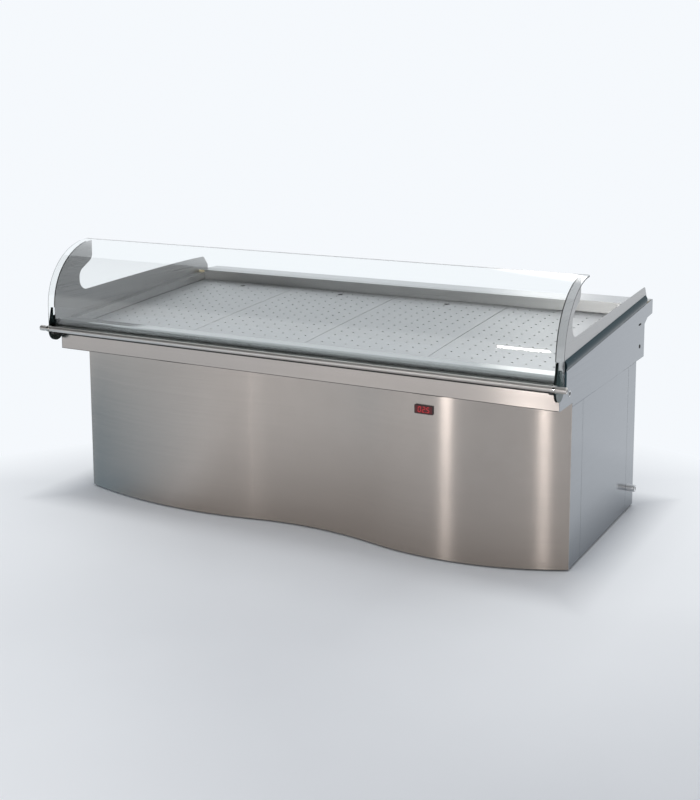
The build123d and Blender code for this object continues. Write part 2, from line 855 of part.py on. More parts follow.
with BuildPart() as front_lip:
    with BuildSketch(Plane.YZ.offset(-cheek_in)):
        with BuildLine():
            outer = CenterArc((nose_y, nose_z), nose_radius, 90, lip_turn)
            inner = CenterArc((nose_y, nose_z), nose_radius - sheet, 90, lip_turn)
            Line(outer @ 1, inner @ 1)
            Polyline(outer @ 0, (well_front_y, lip_z), (well_front_y, lip_z - sheet), inner @ 0)
        make_face()
    extrude(amount=2 * cheek_in)
    drip_half = well_half - fit_gap
    add(block(-drip_half, drip_half, well_front_y, well_front_y + sheet, lip_z - drip, lip_z))
save(front_lip, "front_lip")

with BuildPart() as nose_band:
    with BuildSketch(Plane.YZ.offset(-cheek_in)):
        with BuildLine():
            outer = CenterArc((nose_y, nose_z), nose_radius, 90 + lip_turn, 90 - lip_turn)
            inner = CenterArc((nose_y, nose_z), nose_radius - sheet, 90 + lip_turn, 90 - lip_turn)
            Line(outer @ 0, inner @ 0)
            Polyline(
                outer @ 1,
                (nose_front, fascia_top),
                (y_fascia + sheet, fascia_top),
                (y_fascia + sheet, fascia_top + sheet),
                (nose_front + sheet, fascia_top + sheet),
                inner @ 1,
            )
        make_face()
    extrude(amount=2 * cheek_in)
save(nose_band, "nose_band")

with BuildPart() as rear_skin:
    add(
        across(
            [
                (tub_rear_y, tub_bottom),
                (tub_rear_y, flare_start_z),
                (knee_y, flare_knee_z),
                (y_rear - sheet, worktop_under),
                (y_rear - sheet, worktop_under + sheet),
                (knee_y - sheet, flare_knee_z + sheet),
                (tub_rear_y - sheet, flare_start_z + sheet),
                (tub_rear_y - sheet, tub_bottom),
            ],
            -end_in,
            end_in,
        )
    )
save(rear_skin, "rear_skin")

with BuildPart() as worktop:
    add(block(-cheek_in, cheek_in, well_rear_y, y_rear, worktop_z - sheet, worktop_z))
    add(block(-cheek_in, cheek_in, y_rear - sheet, y_rear, worktop_under, worktop_z))
    add(block(-drip_half, drip_half, well_rear_y - sheet, well_rear_y, worktop_z - drip, worktop_z))
save(worktop, "worktop")

# End panels close the tub at both ends, with a cable slot and a bracket hole at the rear
for side, x_from in (("left", -half), ("right", end_in)):
    with BuildPart() as end_panel:
        with BuildSketch(Plane.YZ.offset(x_from)):
            with BuildLine():
                nose = CenterArc((nose_y, nose_z), nose_radius, 90, 90)
                Polyline(
                    nose @ 1,
                    (nose_front, fascia_top),
                    (y_fascia, fascia_top),
                    (y_fascia, fascia_bottom),
                    (pan_step, fascia_bottom),
                    (pan_step, tub_bottom),
                    (tub_rear_y, tub_bottom),
                    (tub_rear_y, flare_start_z),
                    (knee_y, flare_knee_z),
                    (y_rear, worktop_under),
                    (y_rear, worktop_z),
                    (well_front_y, lip_z),
                    nose @ 0,
                )
            make_face()
            with Locations((tub_rear_y - cable_slot_inset, worktop_z - cable_slot_drop)):
                SlotOverall(cable_slot_length, cable_slot_width, mode=Mode.SUBTRACT)
            with Locations((tub_rear_y - bracket_hole_inset, worktop_z - bracket_hole_drop)):
                Circle(bracket_hole_radius, mode=Mode.SUBTRACT)
        extrude(amount=sheet)
    save(end_panel, f"end_panel_{side}")

# Cheek plates with a bay cut out behind the glass, and the seal the glass rests on
bay_y = y_fascia + cheek_bay_y
cheek_rear_y = well_rear_y + cheek_rear_reach
cheek_rear = (cheek_rear_y, rim_z(cheek_rear_y) + cheek_rear_height)
heel_y = well_rear_y + cheek_heel_reach
cheek_heel = (heel_y, rim_z(heel_y) + cheek_heel_height)
for side, x_from in (("left", -end_in), ("right", cheek_in)):
    with BuildPart() as cheek:
        with BuildSketch(Plane.YZ.offset(x_from)):
            with BuildLine():
                edge = CenterArc(
                    (glass_y, glass_centre_z), cheek_radius, cheek_tip_angle, 180 - cheek_tip_angle
                )
                tip = edge @ 0
                FilletPolyline(
                    tip,
                    (tip.X, glass_centre_z + cheek_tip_rise),
                    (bay_y, glass_centre_z + cheek_bay_top_rise),
                    (bay_y, rim_z(bay_y) + cheek_bay_height),
                    cheek_rear,
                    cheek_heel,
                    radius=[cheek_tip_round, cheek_bay_round_top, cheek_bay_round, cheek_rear_round],
                )
                foot = edge @ 1
                Polyline(
                    cheek_heel,
                    (heel_y, rim_z(heel_y) - cheek_tuck),
                    (nose_y, lip_z - cheek_tuck),
                    (nose_y, lip_z + cheek_gap),
                    (foot.X, lip_z + cheek_gap),
                    foot,
                )
            make_face()
        extrude(amount=cheek_thickness)
    save(cheek, f"cheek_{side}")

with BuildPart() as cheek_seals:
    seal_thickness = cheek_gap - fit_gap
    for x_from in (-end_in, cheek_in):
        with BuildSketch(Plane.YZ.offset(x_from)):
            with BuildLine():
                base = CenterArc((glass_y, glass_centre_z), cheek_radius, 180 - seal_sweep, seal_sweep)
                crown = CenterArc(
                    (glass_y, glass_centre_z), cheek_radius + seal_thickness, 180 - seal_sweep, seal_sweep
                )
                Line(base @ 0, crown @ 0)
                Line(base @ 1, crown @ 1)
            make_face()
        extrude(amount=cheek_thickness)
save(cheek_seals, "cheek_seals")

# Half-round trims along the sloping joint between cheek and end panel
with BuildPart() as side_trims:
    trim_rear = well_rear_y + trim_tail
    trim_length = (trim_rear - well_front_y) / cos(rim_tilt)
    for way in (-1, 1):
        trim_plane = Plane(
            origin=(way * end_in, trim_rear, rim_z(trim_rear)),
            x_dir=(1, 0, 0),
            z_dir=(0, -cos(rim_tilt), -sin(rim_tilt)),
        )
        with BuildSketch(trim_plane):
            with BuildLine():
                ThreePointArc((0, 0), (way * trim_proud, trim_height / 2), (0, trim_height))
                Line((0, trim_height), (0, 0))
            make_face()
        extrude(amount=trim_length)
save(side_trims, "side_trims")

# Ledges that carry the deck, on the front and rear walls of the well
with BuildPart() as deck_ledges:
    ledge_half = well_half - deck_gap
    for wall_y, way in ((well_front_y, 1), (well_rear_y, -1)):
        toe = wall_y + way * ledge_width
        leg = wall_y + way * ledge_thickness
        angle_bar = [
            (wall_y, deck_z(wall_y)),
            (toe, deck_z(toe)),
            (toe, deck_z(toe) - ledge_thickness),
            (leg, deck_z(leg) - ledge_thickness),
            (leg, deck_z(wall_y) - ledge_drop),
            (wall_y, deck_z(wall_y) - ledge_drop),
        ]
        add(across(angle_bar, -ledge_half, ledge_half))
save(deck_ledges, "deck_ledges")

# Perforated deck plates that lift out
plate_width = (2 * well_half - (deck_plates + 1) * deck_gap) / deck_plates
plate_length = (well_rear_y - well_front_y - 2 * deck_gap) / cos(deck_tilt)
deck_middle = (well_front_y + well_rear_y) / 2
hole_columns = int((plate_width - 2 * deck_margin) / deck_hole_pitch) + 1
hole_rows = int((plate_length - 2 * deck_margin) / deck_hole_pitch) + 1
for index in range(deck_plates):
    plate_x = (index - (deck_plates - 1) / 2) * (plate_width + deck_gap)
    deck_plane = Plane(
        origin=(plate_x, deck_middle, deck_z(deck_middle)),
        x_dir=(1, 0, 0),
        z_dir=(0, -sin(deck_tilt), cos(deck_tilt)),
    )
    with BuildPart() as deck_plate:
        with BuildSketch(deck_plane):
            Rectangle(plate_width, plate_length)
            with GridLocations(deck_hole_pitch, deck_hole_pitch, hole_columns, hole_rows):
                Circle(deck_hole_radius, mode=Mode.SUBTRACT)
            with GridLocations(0, plate_length - 2 * finger_hole_inset, 1, 2):
                Circle(finger_hole_radius, mode=Mode.SUBTRACT)
        extrude(amount=sheet)
        with BuildSketch(deck_plane):
            with GridLocations(plate_width - sheet, 0, 2, 1):
                Rectangle(sheet, plate_length - 2 * (ledge_width + deck_gap))
        extrude(amount=-deck_flange)
    save(deck_plate, f"deck_plate_{index + 1}")

# Evaporator coil on bars across the well floor
floor_plane = Plane(
    origin=(0, drain_pos_y, floor_low_z),
    x_dir=(1, 0, 0),
    z_dir=(0, -sin(floor_tilt), cos(floor_tilt)),
)
floor_length = (well_rear_y - drain_pos_y) / cos(floor_tilt)
coil_rows = int((floor_length - coil_start - coil_rear_gap) / coil_pitch) + 1
coil_end = coil_start + (coil_rows - 1) * coil_pitch
with BuildPart() as coil_supports:
    with BuildSketch(floor_plane):
        with Locations((0, (coil_start + coil_end) / 2)):
            with GridLocations(well_half - coil_support_inset, 0, 3, 1):
                Rectangle(coil_support_width, coil_end - coil_start + coil_pitch)
    extrude(amount=coil_support_height)
save(coil_supports, "coil_supports")

with BuildPart() as evaporator_coil:
    coil_plane = floor_plane.offset(coil_support_height + coil_radius)
    bend = coil_pitch / 2
    coil_half = well_half - coil_end_gap
    with BuildLine(coil_plane) as serpentine:
        for row in range(coil_rows):
            way = 1 if row % 2 == 0 else -1
            v = coil_start + row * coil_pitch
            Line((-way * (coil_half - bend), v), (way * (coil_half - bend), v))
            if row < coil_rows - 1:
                turn_x = way * (coil_half - bend)
                ThreePointArc((turn_x, v), (way * coil_half, v + bend), (turn_x, v + coil_pitch))
    with BuildSketch(Plane(origin=serpentine.line @ 0, z_dir=serpentine.line % 0)):
        Circle(coil_radius)
    sweep(path=serpentine.line)
save(evaporator_coil, "evaporator_coil")

# Drain: outlet through the tub, pipe down and out at the right side
drain_end = tub_bottom - drain_tail
with BuildPart() as drain_outlet:
    with BuildSketch(Plane.XY.offset(drain_end)):
        with Locations((drain_x, drain_pos_y)):
            Circle(drain_radius)
    extrude(amount=floor_low_z - sheet - drain_end)
    with BuildSketch(Plane.XY.offset(tub_bottom)):
        with Locations((drain_x, drain_pos_y)):
            Circle(drain_flange_radius)
    extrude(amount=-drain_flange)
    with BuildSketch(Plane.XY.offset(drain_end + drain_wall)):
        with Locations((drain_x, drain_pos_y)):
            Circle(drain_radius - drain_wall)
    extrude(amount=floor_low_z - drain_end, mode=Mode.SUBTRACT)
    with BuildSketch(Plane.XY.offset(drain_end)):
        with Locations((drain_x, drain_pos_y)):
            Circle(pipe_radius - pipe_wall)
    extrude(amount=drain_wall, mode=Mode.SUBTRACT)
save(drain_outlet, "drain_outlet")

with BuildPart() as drain_pipe:
    with BuildLine() as drain_route:
        FilletPolyline(
            (drain_x, drain_pos_y, drain_end),
            (drain_x, drain_pos_y, pipe_z),
            (drain_x, stub_pos_y, pipe_z),
            (cab_right + stub_length, stub_pos_y, pipe_z),
            radius=pipe_bend,
        )
    with BuildSketch(Plane(origin=drain_route.line @ 0, z_dir=drain_route.line % 0)):
        Circle(pipe_radius)
        Circle(pipe_radius - pipe_wall, mode=Mode.SUBTRACT)
    sweep(path=drain_route.line)
    with BuildSketch(Plane.YZ.offset(cab_right)):
        with Locations((stub_pos_y, pipe_z)):
            Circle(stub_radius)
            Circle(pipe_radius - pipe_wall, mode=Mode.SUBTRACT)
    extrude(amount=stub_length)
save(drain_pipe, "drain_pipe")

# Round rail along the front, with end caps
with BuildPart() as rail:
    with BuildSketch(Plane.YZ.offset(-rail_half)):
        with Locations((rail_y, rail_z)):
            Circle(rail_radius)
            Circle(rail_radius - rail_wall, mode=Mode.SUBTRACT)
    extrude(amount=2 * rail_half)
save(rail, "rail")

with BuildPart() as rail_end_caps:
    with BuildSketch(Plane.YZ.offset(rail_half)):
        with Locations((rail_y, rail_z)):
            Circle(cap_radius)
    extrude(amount=cap_length)
    fillet(rail_end_caps.faces().sort_by(Axis.X)[-1].edges(), cap_radius / 5)
    with BuildSketch(Plane.YZ.offset(rail_half + cap_length)):
        with Locations((rail_y, rail_z)):
            Circle(cap_socket_radius)
    extrude(amount=-cap_socket_depth, mode=Mode.SUBTRACT)
    mirror(about=Plane.YZ)
save(rail_end_caps, "rail_end_caps")

# Rail brackets on the fascia, below the nose and behind the rail
with BuildPart() as rail_brackets:
    bracket_out = half - bracket_clear
    bracket_top = fascia_top - seam / 2
    with BuildSketch(Plane.YZ.offset(bracket_out - bracket_width)):
        with BuildLine():
            Polyline(
                (y_fascia, fascia_bottom + bracket_rise),
                (y_fascia, bracket_top),
                (rail_y + bracket_back, bracket_top),
                (rail_y + bracket_back, rail_z),
                (rail_y + bracket_front, rail_z),
                (rail_y + bracket_front, rail_z - rail_radius - bracket_drop),
                close=True,
            )
        make_face()
        with Locations((rail_y, rail_z)):
            Circle(rail_radius, mode=Mode.SUBTRACT)
    extrude(amount=bracket_width)
    mirror(about=Plane.YZ)
save(rail_brackets, "rail_brackets")

# Tilting front glass: curved pane, bottom channel and the two arms that turn on the rail
with BuildPart() as front_glass:
    with BuildSketch(Plane.YZ.offset(-glass_half)):
        with BuildLine():
            outer = CenterArc((glass_y, glass_centre_z), glass_radius, 90, 90)
            inner = CenterArc((glass_y, glass_centre_z), glass_radius - glass_thickness, 90, 90)
            Line(outer @ 0, inner @ 0)
            Polyline(
                outer @ 1,
                (glass_front, glass_bottom_z),
                (glass_front + glass_thickness, glass_bottom_z),
                inner @ 1,
            )
        make_face()
    extrude(amount=2 * glass_half)
    fillet(front_glass.edges().filter_by(Axis.Z).sort_by(Axis.Z)[-2:], glass_corner)
save(front_glass, "front_glass")

arm_in = half + arm_gap
with BuildPart() as glass_channel:
    channel_bottom = glass_bottom_z - channel_floor
    channel_top = channel_bottom + channel_height
    add(
        across(
            [
                (glass_front - channel_wall, channel_bottom),
                (glass_rear + channel_wall, channel_bottom),
                (glass_rear + channel_wall, channel_top),
                (glass_rear, channel_top),
                (glass_rear, glass_bottom_z),
                (glass_front, glass_bottom_z),
                (glass_front, channel_top),
                (glass_front - channel_wall, channel_top),
            ],
            -arm_in,
            arm_in,
        )
    )
save(glass_channel, "glass_channel")

heel_y = rail_y + arm_heel_back
heel_z = rail_z - arm_heel_drop
arm_step_z = glass_centre_z - arm_step_drop
for side, x_from in (("left", -arm_in - arm_thickness), ("right", arm_in)):
    with BuildPart() as glass_arm:
        with BuildSketch(Plane.YZ.offset(x_from)):
            with Locations((rail_y, rail_z)):
                Circle(arm_ring_radius)
            with Locations((heel_y, heel_z)):
                Circle(arm_heel_radius)
            with BuildLine():
                Polyline(
                    (rail_y, rail_z),
                    (glass_front - arm_front_wall, glass_centre_z),
                    (glass_front, glass_centre_z),
                    (glass_front, arm_step_z),
                    (glass_rear + arm_step_depth, arm_step_z),
                    (heel_y + arm_heel_radius, heel_z),
                    (heel_y, heel_z),
                    close=True,
                )
            make_face()
            with Locations((rail_y, rail_z)):
                Circle(rail_radius + running_gap, mode=Mode.SUBTRACT)
            with Locations(((glass_front + glass_rear) / 2, (glass_bottom_z + glass_centre_z) / 2)):
                Rectangle(glass_thickness, glass_centre_z - glass_bottom_z, mode=Mode.SUBTRACT)
        extrude(amount=arm_thickness)
    save(glass_arm, f"glass_arm_{side}")

# Temperature display in the front panel
with BuildPart() as display_unit:
    with BuildSketch(Plane.XZ.offset(-wave_y)):
        with Locations((display_x, display_z)):
            RectangleRounded(display_width, display_height, display_frame)
    extrude(amount=display_depth)
    with BuildSketch(Plane.XZ.offset(-wave_y)):
        with Locations((display_x, display_z)):
            Rectangle(display_body_width, display_body_height)
    extrude(amount=-display_body_depth)
    with BuildSketch(Plane.XZ.offset(-(wave_y - display_depth))):
        with Locations((display_x, display_z)):
            Rectangle(display_width - 2 * display_frame, display_height - 2 * display_frame)
    extrude(amount=-display_window_depth, mode=Mode.SUBTRACT)
save(display_unit, "display_unit")

with BuildPart() as display_window:
    with BuildSketch(Plane.XZ.offset(-(wave_y - display_depth + display_window_depth))):
        with Locations((display_x, display_z)):
            Rectangle(display_width - 2 * display_frame, display_height - 2 * display_frame)
    extrude(amount=display_window_depth)
save(display_window, "display_window")

# Power gland in the kick plate
gland_x = cab_left + gland_inset
with BuildPart() as power_gland:
    with BuildSketch(Plane.XZ.offset(-cab_rear)):
        with Locations((gland_x, gland_z)):
            RegularPolygon(gland_radius, 6)
    extrude(amount=-gland_length / 3)
    with BuildSketch(Plane.XZ.offset(-cab_rear)):
        with Locations((gland_x, gland_z)):
            Circle(gland_neck)
    extrude(amount=-gland_length)
    fillet(power_gland.faces().sort_by(Axis.Y)[-1].edges(), gland_neck / 4)
    with BuildSketch(Plane.XZ.offset(-(cab_rear + gland_length))):
        with Locations((gland_x, gland_z)):
            Circle(gland_bore)
    extrude(amount=gland_length / 2, mode=Mode.SUBTRACT)
save(power_gland, "power_gland")
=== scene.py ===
import math

import bmesh
import bpy
from mathutils import Matrix, Vector


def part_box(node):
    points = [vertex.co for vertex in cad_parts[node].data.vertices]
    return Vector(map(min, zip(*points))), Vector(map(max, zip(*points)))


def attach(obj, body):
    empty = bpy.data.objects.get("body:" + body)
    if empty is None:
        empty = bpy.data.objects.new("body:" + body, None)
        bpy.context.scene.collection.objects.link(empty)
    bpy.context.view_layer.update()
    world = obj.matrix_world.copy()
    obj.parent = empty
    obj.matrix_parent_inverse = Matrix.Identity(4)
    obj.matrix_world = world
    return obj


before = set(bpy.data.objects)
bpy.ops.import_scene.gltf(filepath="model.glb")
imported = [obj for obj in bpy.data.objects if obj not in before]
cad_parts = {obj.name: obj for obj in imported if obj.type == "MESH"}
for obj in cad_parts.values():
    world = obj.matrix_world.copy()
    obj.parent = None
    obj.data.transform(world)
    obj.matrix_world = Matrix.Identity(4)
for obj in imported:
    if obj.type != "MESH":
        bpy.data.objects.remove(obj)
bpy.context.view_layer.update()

MM = 0.001
EDGE = 0.0012
SOFT_EDGE = 0.0015
FINE_EDGE = 0.001
EDGE_TURN = (0.8, 0.99)
scene = bpy.context.scene
scene.view_settings.view_transform = "Standard"


class Surface:
    """A material's node tree, with short calls to add nodes and to join or set their sockets."""

    def __init__(self, name):
        self.material = bpy.data.materials.new(name)
        self.material.use_nodes = True
        self.tree = self.material.node_tree
        self.shader = self.tree.nodes["Principled BSDF"]
        self.output = self.tree.nodes["Material Output"]

    def put(self, socket, value):
        if isinstance(value, bpy.types.NodeSocket):
            self.tree.links.new(value, socket)
        else:
            socket.default_value = value

    def add(self, kind, values=None, **settings):
        node = self.tree.nodes.new("ShaderNode" + kind)
        for key, value in settings.items():
            setattr(node, key, value)
        for key, value in (values or {}).items():
            self.put(node.inputs[key], value)
        return node

    def finish(self, **values):
        """Sets the shader's sockets, written with underscores for spaces."""
        for key, value in values.items():
            self.put(self.shader.inputs[key.replace("_", " ")], value)

    def show(self, share, first, second):
        """Makes the surface first where share is 0 and second where it is 1."""
        mix = self.add("MixShader", {"Fac": share, 1: first, 2: second})
        self.put(self.output.inputs["Surface"], mix.outputs[0])

    def place(self):
        return self.add("TexCoord").outputs["Object"]

    def normal(self):
        return self.add("NewGeometry").outputs["Normal"]

    def split(self, vector):
        return self.add("SeparateXYZ", {"Vector": vector}).outputs

    def vector(self, way, *values, output="Vector"):
        return self.add("VectorMath", dict(enumerate(values)), operation=way).outputs[output]

    def combine(self, first, second, way="ADD"):
        return self.add("Math", {0: first, 1: second}, operation=way).outputs[0]

    def noise(self, scale, detail=3.0, rough=0.55, stretch=(1, 1, 1)):
        scaled = self.add("Mapping", {"Vector": self.place(), "Scale": stretch})
        return self.add("TexNoise", {
            "Vector": scaled.outputs["Vector"], "Scale": scale, "Detail": detail, "Roughness": rough,
        }).outputs["Fac"]

    def cells(self, scale, output="Distance"):
        return self.add("TexVoronoi", {"Vector": self.place(), "Scale": scale}).outputs[output]

    def spread(self, value, low, high, start=0.3, end=0.7):
        """value moved from the range start to end, usually a noise's, to the range low to high."""
        return self.add("MapRange", {
            "Value": value, "From Min": start, "From Max": end, "To Min": low, "To Max": high,
        }).outputs["Result"]

    def rise(self, value, start, end, top=1.0):
        """0 up to start, top from end on."""
        return self.spread(value, 0.0, top, start, end)

    def fall(self, value, start, end):
        """1 up to start, 0 from end on."""
        return self.spread(value, 1.0, 0.0, start, end)

    def times(self, first, *others):
        """The product of all values."""
        for other in others:
            first = self.combine(first, other, "MULTIPLY")
        return first

    def between(self, factor, first, second):
        return self.add("Mix", {0: factor, 2: first, 3: second}).outputs[0]

    def blend(self, factor, first, second):
        node = self.add("Mix", data_type="RGBA")
        self.put(node.inputs["Factor"], factor)
        self.put(node.inputs[6], first)
        self.put(node.inputs[7], second)
        return node.outputs[2]

    def rounded(self, radius):
        return self.add("Bevel", {"Radius": radius}, samples=4).outputs["Normal"]

    def bump(self, height, strength, depth, radius=None):
        values = {"Height": height, "Strength": strength, "Distance": depth}
        if radius:
            values["Normal"] = self.rounded(radius)
        return self.add("Bump", values).outputs["Normal"]

    def edges(self, radius):
        """1 along sharp edges, 0 on flat areas."""
        alike = self.vector("DOT_PRODUCT", self.normal(), self.rounded(radius), output="Value")
        return self.fall(alike, *EDGE_TURN)


def shade(colour, factor):
    return tuple(min(1.0, c * factor) for c in colour[:3]) + (1.0,)


def grey(tone):
    return (tone, tone, tone, 1.0)


# Scale of the brushing lines along X, Y and Z, and the direction in which they run.
FINE, LONG = 420, 1.2
GRAIN = {
    "along_x": ((LONG, FINE, FINE), (1.0, 0.04, 0.03)),
    "level": ((LONG, LONG, FINE), (1.0, 0.04, 0.03)),
    "along_y": ((FINE, LONG, FINE), (0.03, 1.0, 0.04)),
    "upright": ((FINE, FINE, LONG), (0.03, 0.04, 1.0)),
}
HEM_HEIGHT, HEM_STEP = 0.003, 6.0


def brushed(name, tone, grain, rough, stretch=0.7, hem=None, rim=1.0):
    """Brushed stainless steel: fine lines along the grain, slow clouds, handling smudges, brighter edges.

    hem is the height of a fold along the lower edge, rim the brightness at grazing angles.
    """
    s = Surface(name)
    lines, axis = GRAIN[grain]
    fine = s.noise(1.0, 4.0, 0.7, lines)
    broad = s.noise(0.16, 2.0, 0.5, lines)
    cloud = s.noise(1.7, 3.0)
    smudge = s.noise(9.0, 4.0, 0.6)
    colour = s.blend(s.spread(fine, 0.0, 1.0), shade(tone, 0.93), shade(tone, 1.06))
    colour = s.blend(s.spread(broad, 0.0, 0.18), colour, shade(tone, 0.9))
    colour = s.blend(s.spread(cloud, 0.0, 0.2), colour, shade(tone, 1.05))
    colour = s.blend(s.times(s.edges(EDGE), 0.35), colour, shade(tone, 1.3))
    height = fine
    if hem:
        level = s.split(s.place())["Z"]
        height = s.combine(fine, s.rise(level, hem, hem + HEM_HEIGHT, HEM_STEP))
    s.finish(Base_Color=colour, Metallic=1.0, Anisotropic=stretch, Specular_Tint=grey(rim),
             Roughness=s.combine(s.spread(fine, *rough), s.spread(smudge, -0.008, 0.014, 0.35, 0.75)),
             Tangent=s.vector("CROSS_PRODUCT", s.normal(), axis),
             Normal=s.bump(height, 0.12, 0.0003, EDGE))
    return s.material


def satin(name, tone, rough, metal=1.0, grain_scale=900.0, bump=0.08):
    """Cast or drawn metal and moulded plastic: fine even grain, slow tone changes, softened edges."""
    s = Surface(name)
    grain = s.noise(grain_scale, 2.0)
    cloud = s.noise(14.0, 4.0)
    colour = s.blend(s.spread(cloud, 0.0, 1.0), shade(tone, 0.9), shade(tone, 1.1))
    colour = s.blend(s.times(s.edges(FINE_EDGE), 0.3), colour, shade(tone, 1.5))
    s.finish(Base_Color=colour, Metallic=metal,
             Roughness=s.combine(s.spread(grain, *rough), s.spread(cloud, -0.03, 0.04)),
             Normal=s.bump(grain, bump, 0.0004, FINE_EDGE))
    return s.material


def moulded(name, tone, rough, grain_scale, bump):
    """Paint, rubber and plastic with the same grain as satin metal."""
    return satin(name, tone, rough, 0.0, grain_scale, bump)


def galvanised(name, tone):
    """Zinc-coated steel with its spangle."""
    s = Surface(name)
    flake = s.split(s.cells(70.0, output="Color"))["X"]
    rough = s.combine(s.spread(flake, 0.32, 0.48, 0.0, 1.0), s.spread(s.noise(20.0), -0.03, 0.05))
    s.finish(Base_Color=s.blend(flake, shade(tone, 0.82), shade(tone, 1.15)), Metallic=1.0,
             Roughness=rough, Normal=s.bump(s.noise(400.0), 0.05, 0.0004, SOFT_EDGE))
    return s.material


def clear_glass(name):
    """Toughened glass with green ends, light wiping marks, and lamps passing through it."""
    s = Surface(name)
    wipe = s.noise(2.5, 4.0, 0.6, (1.0, 6.0, 6.0))
    across = s.split(s.normal())["X"]
    ends = s.rise(s.times(across, across), 0.5, 0.9)
    s.finish(Base_Color=s.blend(ends, (0.975, 0.995, 0.992, 1.0), (0.06, 0.12, 0.105, 1.0)),
             Roughness=s.spread(wipe, 0.0, 0.02, 0.45, 0.8), IOR=1.5, Specular_IOR_Level=0.3,
             Transmission_Weight=1.0)
    clear = s.add("BsdfTransparent", {"Color": (0.95, 0.97, 0.968, 1.0)})
    s.show(s.add("LightPath").outputs["Is Shadow Ray"], s.shader.outputs[0], clear.outputs[0])
    return s.material


RING_RADIUS, RING_BLUR = 0.0152, 0.0006
HEEL_LOW, HEEL_HIGH = -0.024, -0.012


def glass_arm(name, axis):
    """Black polished plate with a steel ring round the rail, whose axis runs along X; grey on the heel's
    outward faces is a painted reflection.
    """
    s = Surface(name)
    offset = s.vector("SUBTRACT", s.place(), axis)
    reach = s.vector("LENGTH", s.vector("MULTIPLY", offset, (0.0, 1.0, 1.0)), output="Value")
    ring = s.fall(reach, RING_RADIUS, RING_RADIUS + RING_BLUR)
    spot = s.split(offset)
    facing = s.split(s.normal())["X"]
    # Painted reflection: the heel's outward faces get a grey tone, as if they mirrored the bright
    # surroundings.
    outward = s.rise(s.times(facing, spot["X"]), 0.5, 0.8)
    heel = s.times(s.fall(spot["Z"], HEEL_LOW, HEEL_HIGH), outward)
    cloud = s.noise(30.0, 4.0)
    tone = s.spread(cloud, 0.0, 1.0)
    black = s.blend(tone, (0.014, 0.02, 0.02, 1.0), (0.022, 0.03, 0.03, 1.0))
    painted_heel_reflection = s.blend(tone, grey(0.2), grey(0.25))
    steel = s.blend(s.spread(s.noise(300.0), 0.0, 1.0), (0.56, 0.55, 0.53, 1.0), (0.62, 0.61, 0.59, 1.0))
    s.finish(Base_Color=s.blend(ring, s.blend(heel, black, painted_heel_reflection), steel), Metallic=1.0,
             Roughness=s.spread(cloud, 0.12, 0.2), Specular_Tint=(0.55, 0.6, 0.6, 1.0),
             Normal=s.bump(s.noise(500.0), 0.02, 0.0003, FINE_EDGE))
    return s.material


def copper_tube(name):
    """Bare copper, bright in places and dulled by handling in others."""
    s = Surface(name)
    dull = s.noise(28.0, 5.0, 0.65)
    colour = s.blend(s.rise(dull, 0.35, 0.7), (0.80, 0.43, 0.27, 1.0), (0.42, 0.21, 0.13, 1.0))
    s.finish(Base_Color=colour, Metallic=1.0, Roughness=s.spread(dull, 0.22, 0.46),
             Normal=s.bump(s.noise(300.0), 0.06, 0.0003))
    return s.material


def foam(name):
    """Cut rigid foam: open cells and a yellowed skin."""
    s = Surface(name)
    cell = s.cells(520.0)
    age = s.spread(s.noise(11.0, 4.0), 0.0, 1.0)
    s.finish(Base_Color=s.blend(age, (0.80, 0.70, 0.46, 1.0), (0.88, 0.80, 0.58, 1.0)),
             Roughness=s.spread(cell, 0.7, 0.95, 0.0, 0.6), Normal=s.bump(cell, 0.5, 0.0012))
    return s.material


def lit(name, colour, strength):
    """Lit segments behind a red filter, a little uneven."""
    s = Surface(name)
    glow = s.spread(s.noise(160.0, 2.0), 0.85 * strength, 1.15 * strength)
    s.finish(Base_Color=shade(colour, 0.5), Roughness=s.spread(s.noise(400.0), 0.25, 0.4),
             Emission_Color=colour, Emission_Strength=glow)
    return s.material


# The same stainless steel, toned per part to paint how light falls on it: warmer and brighter on the
# front and fascia for the lamps' colour, darker and cool on the sides, darker on the cheeks and lip.
WARM_LIT_STEEL = (0.53, 0.483, 0.445)
COOL_SHADED_STEEL = (0.28, 0.298, 0.32)
LIGHT = (0.60, 0.61, 0.615)

